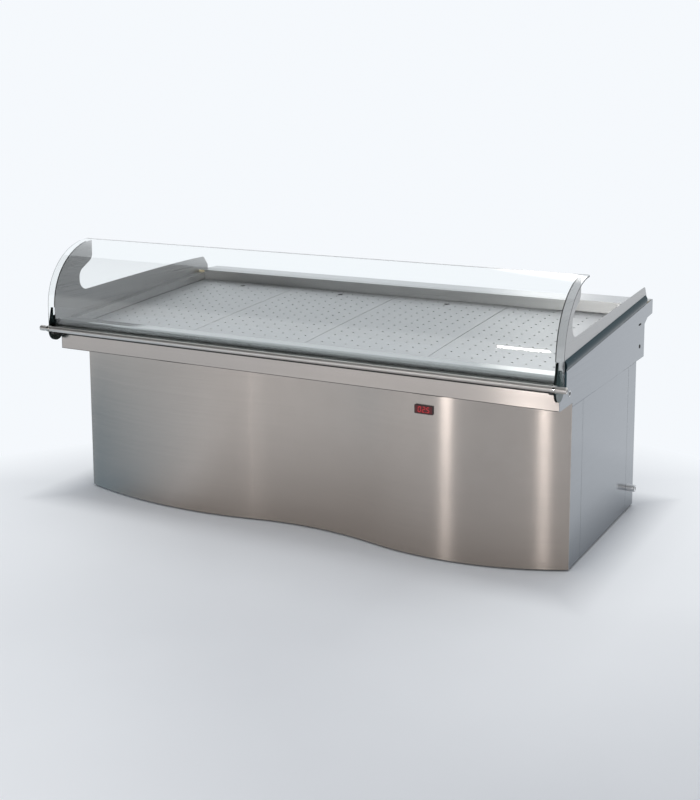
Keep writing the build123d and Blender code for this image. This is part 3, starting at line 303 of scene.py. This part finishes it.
rail_low, rail_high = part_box("rail")
materials = {
    # The front, fascia, lip, cheek and side tones are painted light and shade on one steel.
    "front": brushed("steel_front", WARM_LIT_STEEL, "level", (0.175, 0.22), stretch=1.0, hem=0.033),
    "fascia": brushed("steel_fascia", (0.553, 0.504, 0.468), "along_x", (0.15, 0.19), stretch=1.0),
    "lip": brushed("steel_lip", (0.363, 0.384, 0.38), "along_x", (0.05, 0.08), stretch=0.5),
    "top": brushed("steel_top", LIGHT, "along_x", (0.26, 0.36)),
    "deck": brushed("steel_deck", LIGHT, "along_x", (0.42, 0.52), stretch=0.5),
    "cheek": brushed("steel_cheek", (0.37, 0.37, 0.37), "along_y", (0.26, 0.36), stretch=0.8),
    "side": brushed("steel_side", COOL_SHADED_STEEL, "along_y", (0.12, 0.17), stretch=0.4),
    "rear": brushed("steel_rear", (0.50, 0.53, 0.555), "along_x", (0.26, 0.36), stretch=0.85),
    # Near-black steel for the half-round trims: painted shade of the cove between cheek and end panel.
    "trim": brushed("steel_trim_painted_shade", (0.03, 0.055, 0.066), "along_y", (0.2, 0.28), stretch=0.5, rim=0.7),
    "post": brushed("steel_post", COOL_SHADED_STEEL, "upright", (0.3, 0.42)),
    "rail": brushed("steel_rail", (0.72, 0.70, 0.675), "along_x", (0.46, 0.54), stretch=0.1),
    "bracket": satin("steel_bracket", (0.42, 0.42, 0.42), (0.12, 0.2)),
    "frame": galvanised("zinc_coat", (0.52, 0.53, 0.54)),
    "chrome": satin("chrome", (0.9, 0.905, 0.91), (0.42, 0.5)),
    "arm": glass_arm("dark_metal", (rail_low + rail_high) / 2),
    "enamel": moulded("enamel_black", (0.025, 0.025, 0.026), (0.22, 0.32), grain_scale=160.0, bump=0.06),
    "rubber": moulded("rubber_black", (0.025, 0.025, 0.025), (0.62, 0.78), grain_scale=700.0, bump=0.2),
    "copper": copper_tube("copper"),
    "foam": foam("foam"),
    "fin": satin("aluminium_fin", (0.68, 0.69, 0.70), (0.3, 0.42), grain_scale=300.0, bump=0.05),
    "fan": moulded("fan_plastic", (0.045, 0.045, 0.05), (0.42, 0.55), grain_scale=1000.0, bump=0.12),
    "drain": moulded("drain_grey", (0.42, 0.43, 0.44), (0.3, 0.42), grain_scale=800.0, bump=0.1),
    "bezel": moulded("display_black", (0.035, 0.012, 0.012), (0.3, 0.4), grain_scale=1500.0, bump=0.1),
    "window": moulded("display_red", (0.10, 0.008, 0.010), (0.12, 0.2), grain_scale=60.0, bump=0.02),
    "digits": lit("digit_red", (0.62, 0.004, 0.012, 1.0), 0.42),
    "glass": clear_glass("clear_glass"),
}

NODE_FINISH = {
    "front_panel": "front", "fascia": "fascia", "front_lip": "lip", "nose_band": "lip",
    "worktop": "top", "well_liner": "top", "deck_ledges": "top", "coil_supports": "top",
    "deck_plate_1": "deck", "deck_plate_2": "deck", "deck_plate_3": "deck", "deck_plate_4": "deck",
    # The side trims get the near-black steel that paints the cove's shade.
    "well_sides": "cheek", "cheek_left": "cheek", "cheek_right": "cheek", "side_trims": "trim",
    "end_panel_left": "side", "end_panel_right": "side", "left_side_panel": "side",
    "right_side_panel": "side", "right_side_strips": "side", "dividing_wall": "side",
    "cabinet_floor": "rear", "panel_stiffener": "rear", "rear_kick_plate": "rear", "rear_grille": "rear",
    "door_left": "rear", "door_right": "rear", "rear_skin": "rear", "tub_pan": "rear", "posts": "post",
    "rail": "rail", "rail_end_caps": "rail", "glass_channel": "enamel", "door_handle_left": "rail",
    "door_handle_right": "rail", "rail_brackets": "enamel", "base_frame": "frame", "top_frame": "frame",
    "unit_tray": "frame", "door_pins": "frame", "glass_arm_left": "arm", "glass_arm_right": "arm",
    "door_catches": "enamel", "compressor": "enamel", "fan_shroud": "enamel", "fan_motor": "enamel",
    "cheek_seals": "rubber", "levelling_feet": "rubber", "power_gland": "rubber",
    "evaporator_coil": "copper", "refrigerant_lines": "copper", "insulation": "foam", "condenser": "fin",
    "fan": "fan", "drain_outlet": "drain", "drain_pipe": "chrome", "display_unit": "bezel",
    "display_window": "window", "front_glass": "glass",
}
for name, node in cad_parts.items():
    for material_slot in node.material_slots:
        material_slot.material = materials[NODE_FINISH[name]]


def mesh_object(name, bm, material):
    """A new object in the scene, from bm and with one material."""
    mesh = bpy.data.meshes.new(name)
    bm.normal_update()
    bm.to_mesh(mesh)
    bm.free()
    mesh.materials.append(material)
    obj = bpy.data.objects.new(name, mesh)
    scene.collection.objects.link(obj)
    return obj


def piece(name, bm, finish):
    """A new piece of the case from bm."""
    obj = mesh_object(name, bm, materials[finish])
    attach(obj, "case")


def skin(bm, loops):
    """Joins loops of vertices with smooth faces and closes both ends."""
    count = len(loops[0])
    for low, high in zip(loops, loops[1:]):
        for i in range(count):
            j = (i + 1) % count
            bm.faces.new((low[i], low[j], high[j], high[i])).smooth = True
    bm.faces.new(loops[-1])
    bm.faces.new(loops[0][::-1])


def seat(point, facing):
    """The placing that puts an upright form on point, with its top towards facing."""
    return Matrix.Translation(point) @ Vector(facing).to_track_quat("Z", "Y").to_matrix().to_4x4()


def ring(bm, place, radii, rise):
    """A loop of vertices at rise, each at its own radius."""
    count = len(radii)
    return [bm.verts.new(place @ Vector((
        radius * math.cos(math.tau * i / count), radius * math.sin(math.tau * i / count), rise)))
        for i, radius in enumerate(radii)]


SEGMENTS = {
    "0": "abcdef", "1": "bc", "2": "abdeg", "3": "abcdg", "4": "bcfg",
    "5": "acdfg", "6": "acdefg", "7": "abc", "8": "abcdefg", "9": "abcdfg",
}
DIGIT_LEAN = 0.1
BAR_GAP = 0.15
POINT_SIZE, POINT_SIDES = 0.6, 8


def segment_outline(letter, width, height, thick):
    """Six-sided outline of one bar of a seven-bar digit, from its lower left corner."""
    half = height / 2
    bars = {
        "a": ((0, height), (width, height)), "g": ((0, half), (width, half)), "d": ((0, 0), (width, 0)),
        "f": ((0, half), (0, height)), "b": ((width, half), (width, height)),
        "e": ((0, 0), (0, half)), "c": ((width, 0), (width, half)),
    }
    start, end = (Vector(p) for p in bars[letter])
    along = (end - start).normalized()
    side = Vector((-along.y, along.x)) * thick / 2
    gap = along * thick * BAR_GAP
    nose = along * thick / 2
    start, end = start + gap, end - gap
    return [start, start + nose - side, end - nose - side, end, end - nose + side, start + nose + side]


def digit_outlines(text, centre, pitch, width, height, thick):
    """Outlines of all bars and points of text, as (x, z)."""
    left = centre.x - pitch * (len(text.replace(".", "")) - 1) / 2 - width / 2
    low = centre.z - height / 2
    column = 0
    outlines = []
    for mark in text:
        if mark == ".":
            corner = Vector((left + pitch * column - (pitch - width) / 2, low))
            turns = [math.tau * i / POINT_SIDES for i in range(POINT_SIDES)]
            outlines.append([corner + Vector((
                thick * math.cos(a) * POINT_SIZE, thick * math.sin(a) * POINT_SIZE)) for a in turns])
            continue
        corner = Vector((left + pitch * column, low))
        for letter in SEGMENTS[mark]:
            flat = segment_outline(letter, width, height, thick)
            outlines.append([corner + Vector((p.x + (p.y - height / 2) * DIGIT_LEAN, p.y)) for p in flat])
        column += 1
    return outlines


def seven_bar_digits(text, centre, depth, **sizes):
    """Lit digits standing just proud of the display window, which faces -Y."""
    bm = bmesh.new()
    for outline in digit_outlines(text, centre, **sizes):
        front = [bm.verts.new((p.x, centre.y - depth, p.y)) for p in outline]
        back = [bm.verts.new((p.x, centre.y, p.y)) for p in outline]
        bm.faces.new(front)
        bm.faces.new(back[::-1])
        for i in range(len(front)):
            j = (i + 1) % len(front)
            bm.faces.new((front[j], front[i], back[i], back[j]))
    bmesh.ops.recalc_face_normals(bm, faces=bm.faces)
    return bm


window_low, window_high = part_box("display_window")
window_face = Vector((
    (window_low.x + window_high.x) / 2, window_low.y, (window_low.z + window_high.z) / 2))
piece("display_digits", seven_bar_digits(
    "02.5", window_face, depth=0.25 * MM, pitch=19 * MM, width=11 * MM, height=21 * MM, thick=3.4 * MM),
    "digits")

SCREW_RADIUS = 4.5 * MM
SCREW_SIDES = 16
# Size and rise of the dome's rings, and rise of the recess at its rim and floor, as shares of the radius.
SCREW_DOME = [(1.0, 0.0), (1.0, 0.18), (0.9, 0.36), (0.66, 0.5), (0.46, 0.54)]
RECESS_RISES = (0.54, 0.2)
RECESS_TIP, RECESS_ROOT = 0.44, 0.16
REARWARD = (0, 1, 0)


def add_screw(bm, point):
    """A domed screw head with a cross recess, its seat at point on the rear."""
    place = seat(point, REARWARD)
    loops = [ring(bm, place, [SCREW_RADIUS * size] * SCREW_SIDES, SCREW_RADIUS * rise)
             for size, rise in SCREW_DOME]
    cross = [SCREW_RADIUS * (RECESS_ROOT if i % 4 else RECESS_TIP) for i in range(SCREW_SIDES)]
    loops += [ring(bm, place, cross, SCREW_RADIUS * rise) for rise in RECESS_RISES]
    skin(bm, loops)


def rear_screws(name, places):
    """One piece with a screw at each of places, which face the rear."""
    bm = bmesh.new()
    for point in places:
        add_screw(bm, Vector(point))
    piece(name, bm, "bracket")


KICK_SCREWS, KICK_SCREW_Z = 7, 0.083
KICK_MARGIN = 0.25
GRILLE_MARGIN_X, GRILLE_MARGIN_Z = 0.014, 0.02

kick_low, kick_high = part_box("rear_kick_plate")
kick_pitches = KICK_SCREWS - 1 + 2 * KICK_MARGIN
kick_width = kick_high.x - kick_low.x
rear_screws("kick_plate_screws", [
    (kick_low.x + kick_width * (i + KICK_MARGIN) / kick_pitches, kick_high.y, KICK_SCREW_Z)
    for i in range(KICK_SCREWS)])
grille_low, grille_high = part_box("rear_grille")
rear_screws("grille_screws", [
    (x, grille_high.y, z)
    for x in (grille_low.x + GRILLE_MARGIN_X, grille_high.x - GRILLE_MARGIN_X)
    for z in (grille_low.z + GRILLE_MARGIN_Z, (grille_low.z + grille_high.z) / 2,
              grille_high.z - GRILLE_MARGIN_Z)])

TURNED_SIDES = 24
GROMMET_TURNS = 10
# Growth of the outline and rise of each loop of a grommet, in mm.
GROMMET_SECTION = ((0.0, 0.0), (0.0, 0.8), (-0.8, 1.4), (-2.4, 1.4), (-3.0, 0.6), (-3.0, 0.1))


def add_turned(bm, point, facing, profile):
    """A turned form about facing: rings of (radius, rise) in mm from its foot, closed at both ends."""
    place = seat(point, facing)
    skin(bm, [ring(bm, place, [radius * MM] * TURNED_SIDES, rise * MM) for radius, rise in profile])


def add_grommet(bm, point, way, length, width):
    """A flat-sided rubber bush, long along Y, on an end panel that faces way along X."""
    run = (length - width) / 2 * MM
    loops = []
    for grow, rise in GROMMET_SECTION:
        radius = (width / 2 + grow) * MM
        loop = []
        for turn in range(2 * GROMMET_TURNS):
            half, step = divmod(turn, GROMMET_TURNS)
            a = math.pi * half - math.pi / 2 + math.pi * step / (GROMMET_TURNS - 1)
            shift = -run if half else run
            loop.append(bm.verts.new(point + Vector((
                way * rise * MM, shift + radius * math.cos(a), radius * math.sin(a)))))
        loops.append(loop)
    skin(bm, loops)


def add_strip(bm, path, across, out, section):
    """A strip along path, of (point, scale); section lists (offset along across, offset along out)."""
    across, out = Vector(across), Vector(out)
    skin(bm, [[bm.verts.new(Vector(p) + across * (a * scale) + out * (b * scale)) for a, b in section]
              for p, scale in path])


def outward_piece(name, finish, slot, add, *turns):
    """One piece made by add(bm, *turn) for each of turns, its faces turned outwards."""
    bm = bmesh.new()
    for turn in turns:
        add(bm, *turn)
    bmesh.ops.recalc_face_normals(bm, faces=bm.faces)
    piece(name, bm, finish)


def both_ends(name, finish, slot, add):
    """One piece made at both end panels by add(bm, way), with way 1 on the right."""
    outward_piece(name, finish, slot, add, (-1,), (1,))


end_low, end_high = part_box("end_panel_right")
end_x = end_high.x
# Distances from the end panel's rear edge and from its top.
FIXING_HOLE = (0.203, 0.191)
JOINING_HOLE = (1.193, 0.191)
CABLE_SLOT = (0.209, 0.087)
TRIM_BACK = 1.2525
SLOT_LENGTH, SLOT_WIDTH = 34, 9
PLUG_FOOT = 0.4 * MM

# Radius and rise of the rings of turned forms, in mm.
HOLE_PLUG = [(9.5, 0), (9.5, 0.7), (8.6, 1.5), (6.4, 1.7), (5.8, 1.0), (4.4, 0.6)]
JOINING_RING = [(13, 0), (13, 1.0), (12, 1.8), (9.4, 1.8), (8.8, 0.5)]
JOINING_PLUG = [(8.6, 0), (8.6, 1.2), (7.8, 1.9), (5.2, 2.2), (2.2, 2.3)]
CAP_PLUG = [(6.4, 0), (6.4, 3.6), (5.9, 4.8), (4.4, 5.5), (2.2, 5.8)]
CAP_PLUG_FOOT = 5.9 * MM


def on_end(way, hole, out=0.0):
    """The point of a hole on the end panel that faces way."""
    back, drop = hole
    return Vector((way * (end_x + out), end_high.y - back, end_high.z - drop))


both_ends("hole_plugs", "rubber", "seal_rubber", lambda bm, way: add_turned(
    bm, on_end(way, FIXING_HOLE), (way, 0, 0), HOLE_PLUG))
both_ends("joining_rings", "chrome", "bracket_steel", lambda bm, way: add_turned(
    bm, on_end(way, JOINING_HOLE), (way, 0, 0), JOINING_RING))
both_ends("joining_plugs", "rubber", "seal_rubber", lambda bm, way: add_turned(
    bm, on_end(way, JOINING_HOLE, PLUG_FOOT), (way, 0, 0), JOINING_PLUG))
both_ends("slot_grommets", "rubber", "seal_rubber", lambda bm, way: add_grommet(
    bm, on_end(way, CABLE_SLOT), way, SLOT_LENGTH, SLOT_WIDTH))

cap_low, cap_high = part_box("rail_end_caps")
cap_y, cap_z = (cap_low.y + cap_high.y) / 2, (cap_low.z + cap_high.z) / 2
both_ends("cap_plugs", "rubber", "seal_rubber", lambda bm, way: add_turned(
    bm, Vector((way * (cap_high.x - CAP_PLUG_FOOT), cap_y, cap_z)), (way, 0, 0), CAP_PLUG))

TRIM_HALF_WIDTH, TRIM_RISE, TRIM_STEPS = 7.5 * MM, 7.0 * MM, 8
# Heights along a trim's end and the scale of its section there.
TRIM_END = ((0.846, 0.8), (0.842, 1.0), (0.79, 1.0), (0.782, 0.9), (0.777, 0.6), (0.7755, 0.25))
half_turn = [math.pi * i / TRIM_STEPS for i in range(TRIM_STEPS + 1)]
half_round = [(TRIM_HALF_WIDTH * math.cos(a), TRIM_RISE * math.sin(a)) for a in half_turn]
# The trim ends' near-black steel paints the shade of the cove there.
both_ends("trim_ends", "trim", "trim_steel", lambda bm, way: add_strip(
    bm, [((way * end_x, end_high.y - TRIM_BACK, z), scale) for z, scale in TRIM_END],
    (0, 1, 0), (way, 0, 0), half_round))

fascia_low, fascia_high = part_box("fascia")
# Placing of the black strips that paint shade along the fascia.
STRIP_SUNK = -0.2 * MM
STRIP_END_GAP = 2 * MM
STRIP_PLACES = [-0.4, 0.4]


def shade_strip(name, middle, height, depth, crown):
    """A black rubber strip along the fascia's face, its front edges eased by crown; it paints the shade
    of a gap there.
    """
    half = height / 2
    section = [(-half, STRIP_SUNK), (-half, depth - crown), (crown - half, depth), (half - crown, depth),
               (half, depth - crown), (half, STRIP_SUNK)]
    places = [fascia_low.x + STRIP_END_GAP, *STRIP_PLACES, fascia_high.x - STRIP_END_GAP]
    path = [((x, fascia_low.y, middle), 1.0) for x in places]
    outward_piece(name, "rubber", "seal_rubber", add_strip, (path, (0, 0, 1), (0, -1, 0), section))


# Painted shade: a black strip for the shadow below the rail and the nose.
shade_strip("nose_shade_strip", fascia_high.z - 9 * MM, height=18 * MM, depth=2.4 * MM, crown=1.2 * MM)
# Painted shade: a thin black strip for the shadow under the fascia's lower edge.
shade_strip("fascia_edge_shade_strip", fascia_low.z + 1.0 * MM, height=2.0 * MM, depth=0.8 * MM, crown=0.5 * MM)

side_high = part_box("right_side_panel")[1]
strip_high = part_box("right_side_strips")[1]
joint = (side_high.z + end_low.z) / 2
BEAD = [(-1.0 * MM, -1.2 * MM), (1.0 * MM, -1.2 * MM), (1.0 * MM, -0.05 * MM), (0.5 * MM, -0.2 * MM),
        (-0.5 * MM, -0.2 * MM), (-1.0 * MM, -0.05 * MM)]
BEAD_PLACES = (-0.45, -0.1, 0.2)
bead_path = [((end_x, y, joint), 1.0) for y in (*BEAD_PLACES, strip_high.y)]
outward_piece("side_joint_bead", "side", "case_steel", add_strip, (bead_path, (0, 0, 1), (1, 0, 0), BEAD))


def lamp(name, place, aim, width, height, power, colour=(1, 1, 1), shows=True):
    """A soft rectangular studio lamp that the camera never sees; shows says whether metal mirrors it."""
    data = bpy.data.lights.new(name, "AREA")
    data.shape = "RECTANGLE"
    data.size = width
    data.size_y = height
    data.energy = power
    data.color = colour
    obj = bpy.data.objects.new(name, data)
    obj.location = place
    obj.rotation_euler = (Vector(aim) - Vector(place)).to_track_quat("-Z", "Y").to_euler()
    obj.visible_camera = False
    obj.visible_transmission = False
    obj.visible_glossy = shows
    scene.collection.objects.link(obj)


WINDOW_LIGHT = (1, 0.94, 0.91)
lamp("overhead", place=(0.2, -0.4, 4.6), aim=(0.2, -0.2, 0), width=5.0, height=4.0, power=95, shows=False)
lamp("window_left", place=(-0.63, -5.41, 1.07), aim=(0.77, -0.6, 0.5), width=0.42, height=0.3, power=22,
     colour=WINDOW_LIGHT)
lamp("window_right", place=(4.44, -6.87, 1.35), aim=(1.15, -0.69, 0.4), width=0.6, height=0.8, power=44,
     colour=WINDOW_LIGHT)


def ray_share(tree):
    """1 for camera, mirrored and see-through rays, 0 for the rays that light the object."""
    path = tree.nodes.new("ShaderNodeLightPath")
    total = path.outputs["Is Camera Ray"]
    for other in ("Is Glossy Ray", "Is Transmission Ray"):
        node = tree.nodes.new("ShaderNodeMath")
        node.operation = "MAXIMUM"
        tree.links.new(total, node.inputs[0])
        tree.links.new(path.outputs[other], node.inputs[1])
        total = node.outputs[0]
    return total


PALE = (0.915, 0.945, 0.98, 1.0)
SOFT_LIGHT, SOFT_STRENGTH = (0.95, 0.97, 1.0, 1.0), 0.5


def set_world():
    """Pale background, with a weaker even light on the object."""
    world = bpy.data.worlds.new("studio")
    world.use_nodes = True
    tree = world.node_tree
    seen = tree.nodes["Background"]
    seen.inputs["Color"].default_value = PALE
    lighting = tree.nodes.new("ShaderNodeBackground")
    lighting.inputs["Color"].default_value = SOFT_LIGHT
    lighting.inputs["Strength"].default_value = SOFT_STRENGTH
    mix = tree.nodes.new("ShaderNodeMixShader")
    tree.links.new(ray_share(tree), mix.inputs[0])
    tree.links.new(lighting.outputs[0], mix.inputs[1])
    tree.links.new(seen.outputs[0], mix.inputs[2])
    tree.links.new(mix.outputs[0], tree.nodes["World Output"].inputs["Surface"])
    scene.world = world


FLOOR_RADIUS, FLOOR_SIDES = 40.0, 96
FLOOR_TONES = ((0.74, 0.765, 0.80, 1.0), (0.78, 0.805, 0.84, 1.0))
FLOOR_MIDDLE = (0.1, -2.0, 0.0)
TOWARDS_REAR = (-0.48, 0.876, 0.0)
TOWARDS_LEFT = (-0.7, -0.7, 0.0)
CASE_MIDDLE, CASE_HALF = (0.045, -0.1, 0.0), (1.2, 0.55, 0.0)
CASE_MARGIN = (0.02, 0.2)
# Stretches over which the floor turns paler, and how much it does; the paler stretch at the right is
# painted light from the lamps on that side.
REAR_NEAR, REAR_NEAR_SHARE = (-1.5, 0.1), 0.3
REAR_FAR, REAR_FAR_SHARE = (0.15, 1.0), 0.7
RIGHT_SIDE, RIGHT_SHARE, RIGHT_DEPTH = (0.7, 1.6), 0.55, (-2.6, -1.3)
LEFT_SIDE, LEFT_SHARE = (0.8, 2.8), 0.8
FAR_AWAY = (2.8, 6.0)


def floor_fade(s):
    """How far the floor has run out to the background's tone: 0 close to the case, 1 far away, and more
    at the right, where it paints the lamps' light.
    """
    place = s.place()
    reach = s.vector("DISTANCE", place, FLOOR_MIDDLE, output="Value")
    depth = s.vector("DOT_PRODUCT", place, TOWARDS_REAR, output="Value")
    left = s.vector("DOT_PRODUCT", place, TOWARDS_LEFT, output="Value")
    right = s.split(place)["X"]
    behind = s.combine(s.rise(depth, *REAR_NEAR, REAR_NEAR_SHARE),
                       s.rise(depth, *REAR_FAR, REAR_FAR_SHARE))
    # Painted light: the floor is paler at the right, where the lamps light it.
    right_light_pool = s.times(s.rise(right, *RIGHT_SIDE, RIGHT_SHARE), s.rise(depth, *RIGHT_DEPTH))
    fade = s.combine(s.combine(behind, right_light_pool), s.rise(left, *LEFT_SIDE, LEFT_SHARE))
    fade = s.combine(fade, s.rise(reach, *FAR_AWAY), "MAXIMUM")
    apart = s.vector("ABSOLUTE", s.vector("SUBTRACT", place, CASE_MIDDLE))
    apart = s.split(s.vector("SUBTRACT", apart, CASE_HALF))
    clear = s.rise(s.combine(apart["X"], apart["Y"], "MAXIMUM"), *CASE_MARGIN)
    return s.times(fade, clear)


def floor():
    """Pale floor that runs out to the background's tone away from the object and keeps its shadow."""
    bm = bmesh.new()
    bmesh.ops.create_circle(bm, cap_ends=True, segments=FLOOR_SIDES, radius=FLOOR_RADIUS)
    s = Surface("floor")
    cloud = s.noise(0.8, 3.0)
    s.finish(Base_Color=s.blend(s.spread(cloud, 0.0, 1.0), *FLOOR_TONES),
             Roughness=s.spread(cloud, 0.5, 0.6), Specular_IOR_Level=0.2)
    share = s.times(floor_fade(s), ray_share(s.tree))
    pale = s.add("Emission", {"Color": PALE, "Strength": 1.0})
    s.show(share, s.shader.outputs[0], pale.outputs[0])
    mesh_object("floor", bm, s.material)


ROOM_X, ROOM_Y = 0.7, -0.6
ROOM_RADIUS, ROOM_HEIGHT = 10.0, 16.0
ROOM_START, ROOM_SWEEP, ROOM_SIDES = -95, 180, 24
GROUND = ((-6.0, 0.0), (-6.0, -5.0), (2.4, -5.0), (2.4, -0.45), (-1.2, -0.45), (-1.2, 0.0))
GROUND_LIFT, GROUND_TOP = 0.003, 0.01
STRIP_LIGHT = ((-1.1, 4.0, 1.7), (-0.3, 4.14, 1.7), (-0.3, 4.14, 9.5), (-1.1, 4.0, 9.5))
STRIP_STRENGTH, STRIP_EDGE = 2.2, (-1.05, -0.65)
REAR_HALF = 2.0
# Share of the wall's height and tone there.
WALL_TONES = ((0.0, 0.75), (0.1, 0.7), (0.15, 0.05), (0.2, 0.01), (0.45, 0.01), (0.8, 0.04), (1.0, 0.36))
LIT_TONE, LIT_LEFT, LIT_RIGHT, LIT_TOP = 0.66, (-5.2, -2.6), (-1.4, -0.6), (1.8, 3.2)
DUSK, DUSK_SHARE = (-3.5, 0.0), 0.68
RIGHT_TONE, RIGHT_END = 0.5, (0.8, 5.0)
# The patch's tones: cool at the left, and at the right the brownish dark of the painted shadow.
COOL_GROUND, SHADOW_GROUND = (0.22, 0.31, 0.38, 1.0), (0.27, 0.25, 0.235, 1.0)
TONE_CHANGE = (-1.1, -0.6)
# The cool fan spreads from its focus between two angles, in radians, and ends at its reach.
COOL_FOCUS = (-0.43, -0.345, 0.0)
COOL_START, COOL_END, COOL_REACH = (0.12, 0.27), (0.15, 1.35), (3.4, 4.6)
# Painted shadow of the case on the floor in front of it, seen only in mirrors.
SHADOW_DEPTH, SHADOW_SHARE = (-2.1, -0.8), 0.62
SHADOW_LEFT, SHADOW_RIGHT = (-1.0, -0.5), (1.7, 2.3)


def room_mesh():
    """A half-round wall with a ceiling in front of the case, a floor patch and a strip light behind."""
    bm = bmesh.new()
    low, high = [], []
    for i in range(ROOM_SIDES + 1):
        a = math.radians(ROOM_START + ROOM_SWEEP * i / ROOM_SIDES)
        point = Vector((ROOM_X + ROOM_RADIUS * math.sin(a), ROOM_Y - ROOM_RADIUS * math.cos(a), 0.0))
        low.append(bm.verts.new(point))
        high.append(bm.verts.new(point + Vector((0, 0, ROOM_HEIGHT))))
    peak = bm.verts.new((ROOM_X, ROOM_Y, ROOM_HEIGHT))
    for i in range(ROOM_SIDES):
        bm.faces.new((low[i], low[i + 1], high[i + 1], high[i]))
        bm.faces.new((high[i], high[i + 1], peak))
    bm.faces.new([bm.verts.new((x, y, GROUND_LIFT)) for x, y in GROUND])
    bm.faces.new([bm.verts.new(p) for p in STRIP_LIGHT])
    return bm


def wall_tone(s, spot):
    """Dark wall with a pale foot, a grey ceiling, a lit place left of the middle and a grey right end."""
    ramp = s.add("ValToRGB", {"Fac": s.rise(spot["Z"], 0.0, ROOM_HEIGHT)})
    for share, _ in WALL_TONES[1:-1]:
        ramp.color_ramp.elements.new(share)
    for element, (share, tone) in zip(ramp.color_ramp.elements, WALL_TONES):
        element.position = share
        element.color = grey(tone)
    lit_place = s.times(s.rise(spot["X"], *LIT_LEFT), s.fall(spot["X"], *LIT_RIGHT),
                        s.fall(spot["Z"], *LIT_TOP))
    wall = s.blend(s.rise(spot["X"], *DUSK, DUSK_SHARE), ramp.outputs["Color"], grey(0.0))
    wall = s.blend(lit_place, wall, grey(LIT_TONE))
    return s.blend(s.rise(spot["X"], *RIGHT_END), wall, grey(RIGHT_TONE))


def ground_share(s, spot):
    """Where the patch covers the floor: a cool fan at the left and a brownish dark strip close to the
    front, a painted shadow of the case that only metal mirrors.
    """
    offset = s.vector("SUBTRACT", COOL_FOCUS, s.place())
    away = s.split(offset)
    angle = s.combine(away["Y"], away["X"], "ARCTAN2")
    reach = s.vector("LENGTH", offset, output="Value")
    cool = s.times(s.rise(angle, *COOL_START), s.fall(angle, *COOL_END), s.fall(reach, *COOL_REACH))
    # Painted shadow of the case, close to its front.
    painted_shadow = s.times(s.rise(spot["Y"], *SHADOW_DEPTH, SHADOW_SHARE), s.rise(spot["X"], *SHADOW_LEFT),
                   s.fall(spot["X"], *SHADOW_RIGHT))
    return s.combine(cool, painted_shadow, "MAXIMUM")


def dark_room():
    """Surroundings that only metal mirrors: the studio's unlit front and a strip light at the rear."""
    s = Surface("dark_room")
    spot = s.split(s.place())
    mirrored = s.combine(s.add("LightPath").outputs["Glossy Depth"], 0.5, "GREATER_THAN")
    low = s.combine(spot["Z"], GROUND_TOP, "LESS_THAN")
    rear = s.combine(spot["Y"], REAR_HALF, "GREATER_THAN")
    patch = s.blend(s.rise(spot["X"], *TONE_CHANGE), COOL_GROUND, SHADOW_GROUND)
    covered = s.between(low, 1.0, ground_share(s, spot))
    covered = s.between(rear, covered, s.rise(spot["X"], *STRIP_EDGE))
    tone = s.blend(rear, s.blend(low, wall_tone(s, spot), patch), grey(STRIP_STRENGTH))
    dim = s.add("Emission", {"Color": tone, "Strength": 1.0})
    s.show(s.times(mirrored, covered), s.add("BsdfTransparent").outputs[0], dim.outputs[0])
    obj = mesh_object("dark_room", room_mesh(), s.material)
    obj.visible_camera = False
    obj.visible_diffuse = False
    obj.visible_shadow = False


set_world()
floor()
dark_room()

CAMERA_PLACE = (2.7767, -5.0556, 1.9596)
YAW, PITCH, ROLL = (math.radians(a) for a in (28.79, 8.19, -0.21))
SENSOR = 36.0
PICTURE_HEIGHT, AXIS_ROW, FOCAL_ROWS = 800, 260, 1238


def set_camera():
    """The photographer's place and lens: 700 by 800 picture, the lens axis above the picture's middle."""
    ahead = Vector((-math.sin(YAW) * math.cos(PITCH), math.cos(YAW) * math.cos(PITCH), -math.sin(PITCH)))
    right = Vector((math.cos(YAW), math.sin(YAW), 0))
    up = right.cross(ahead)
    level = math.cos(ROLL) * right + math.sin(ROLL) * up
    upright = -math.sin(ROLL) * right + math.cos(ROLL) * up
    data = bpy.data.cameras.new("camera")
    data.sensor_width = SENSOR
    data.lens = FOCAL_ROWS / PICTURE_HEIGHT * SENSOR
    data.shift_y = (AXIS_ROW - PICTURE_HEIGHT / 2) / PICTURE_HEIGHT
    obj = bpy.data.objects.new("camera", data)
    turn = Matrix((level, upright, -ahead)).transposed().to_4x4()
    obj.matrix_world = Matrix.Translation(CAMERA_PLACE) @ turn
    scene.collection.objects.link(obj)
    scene.camera = obj


set_camera()
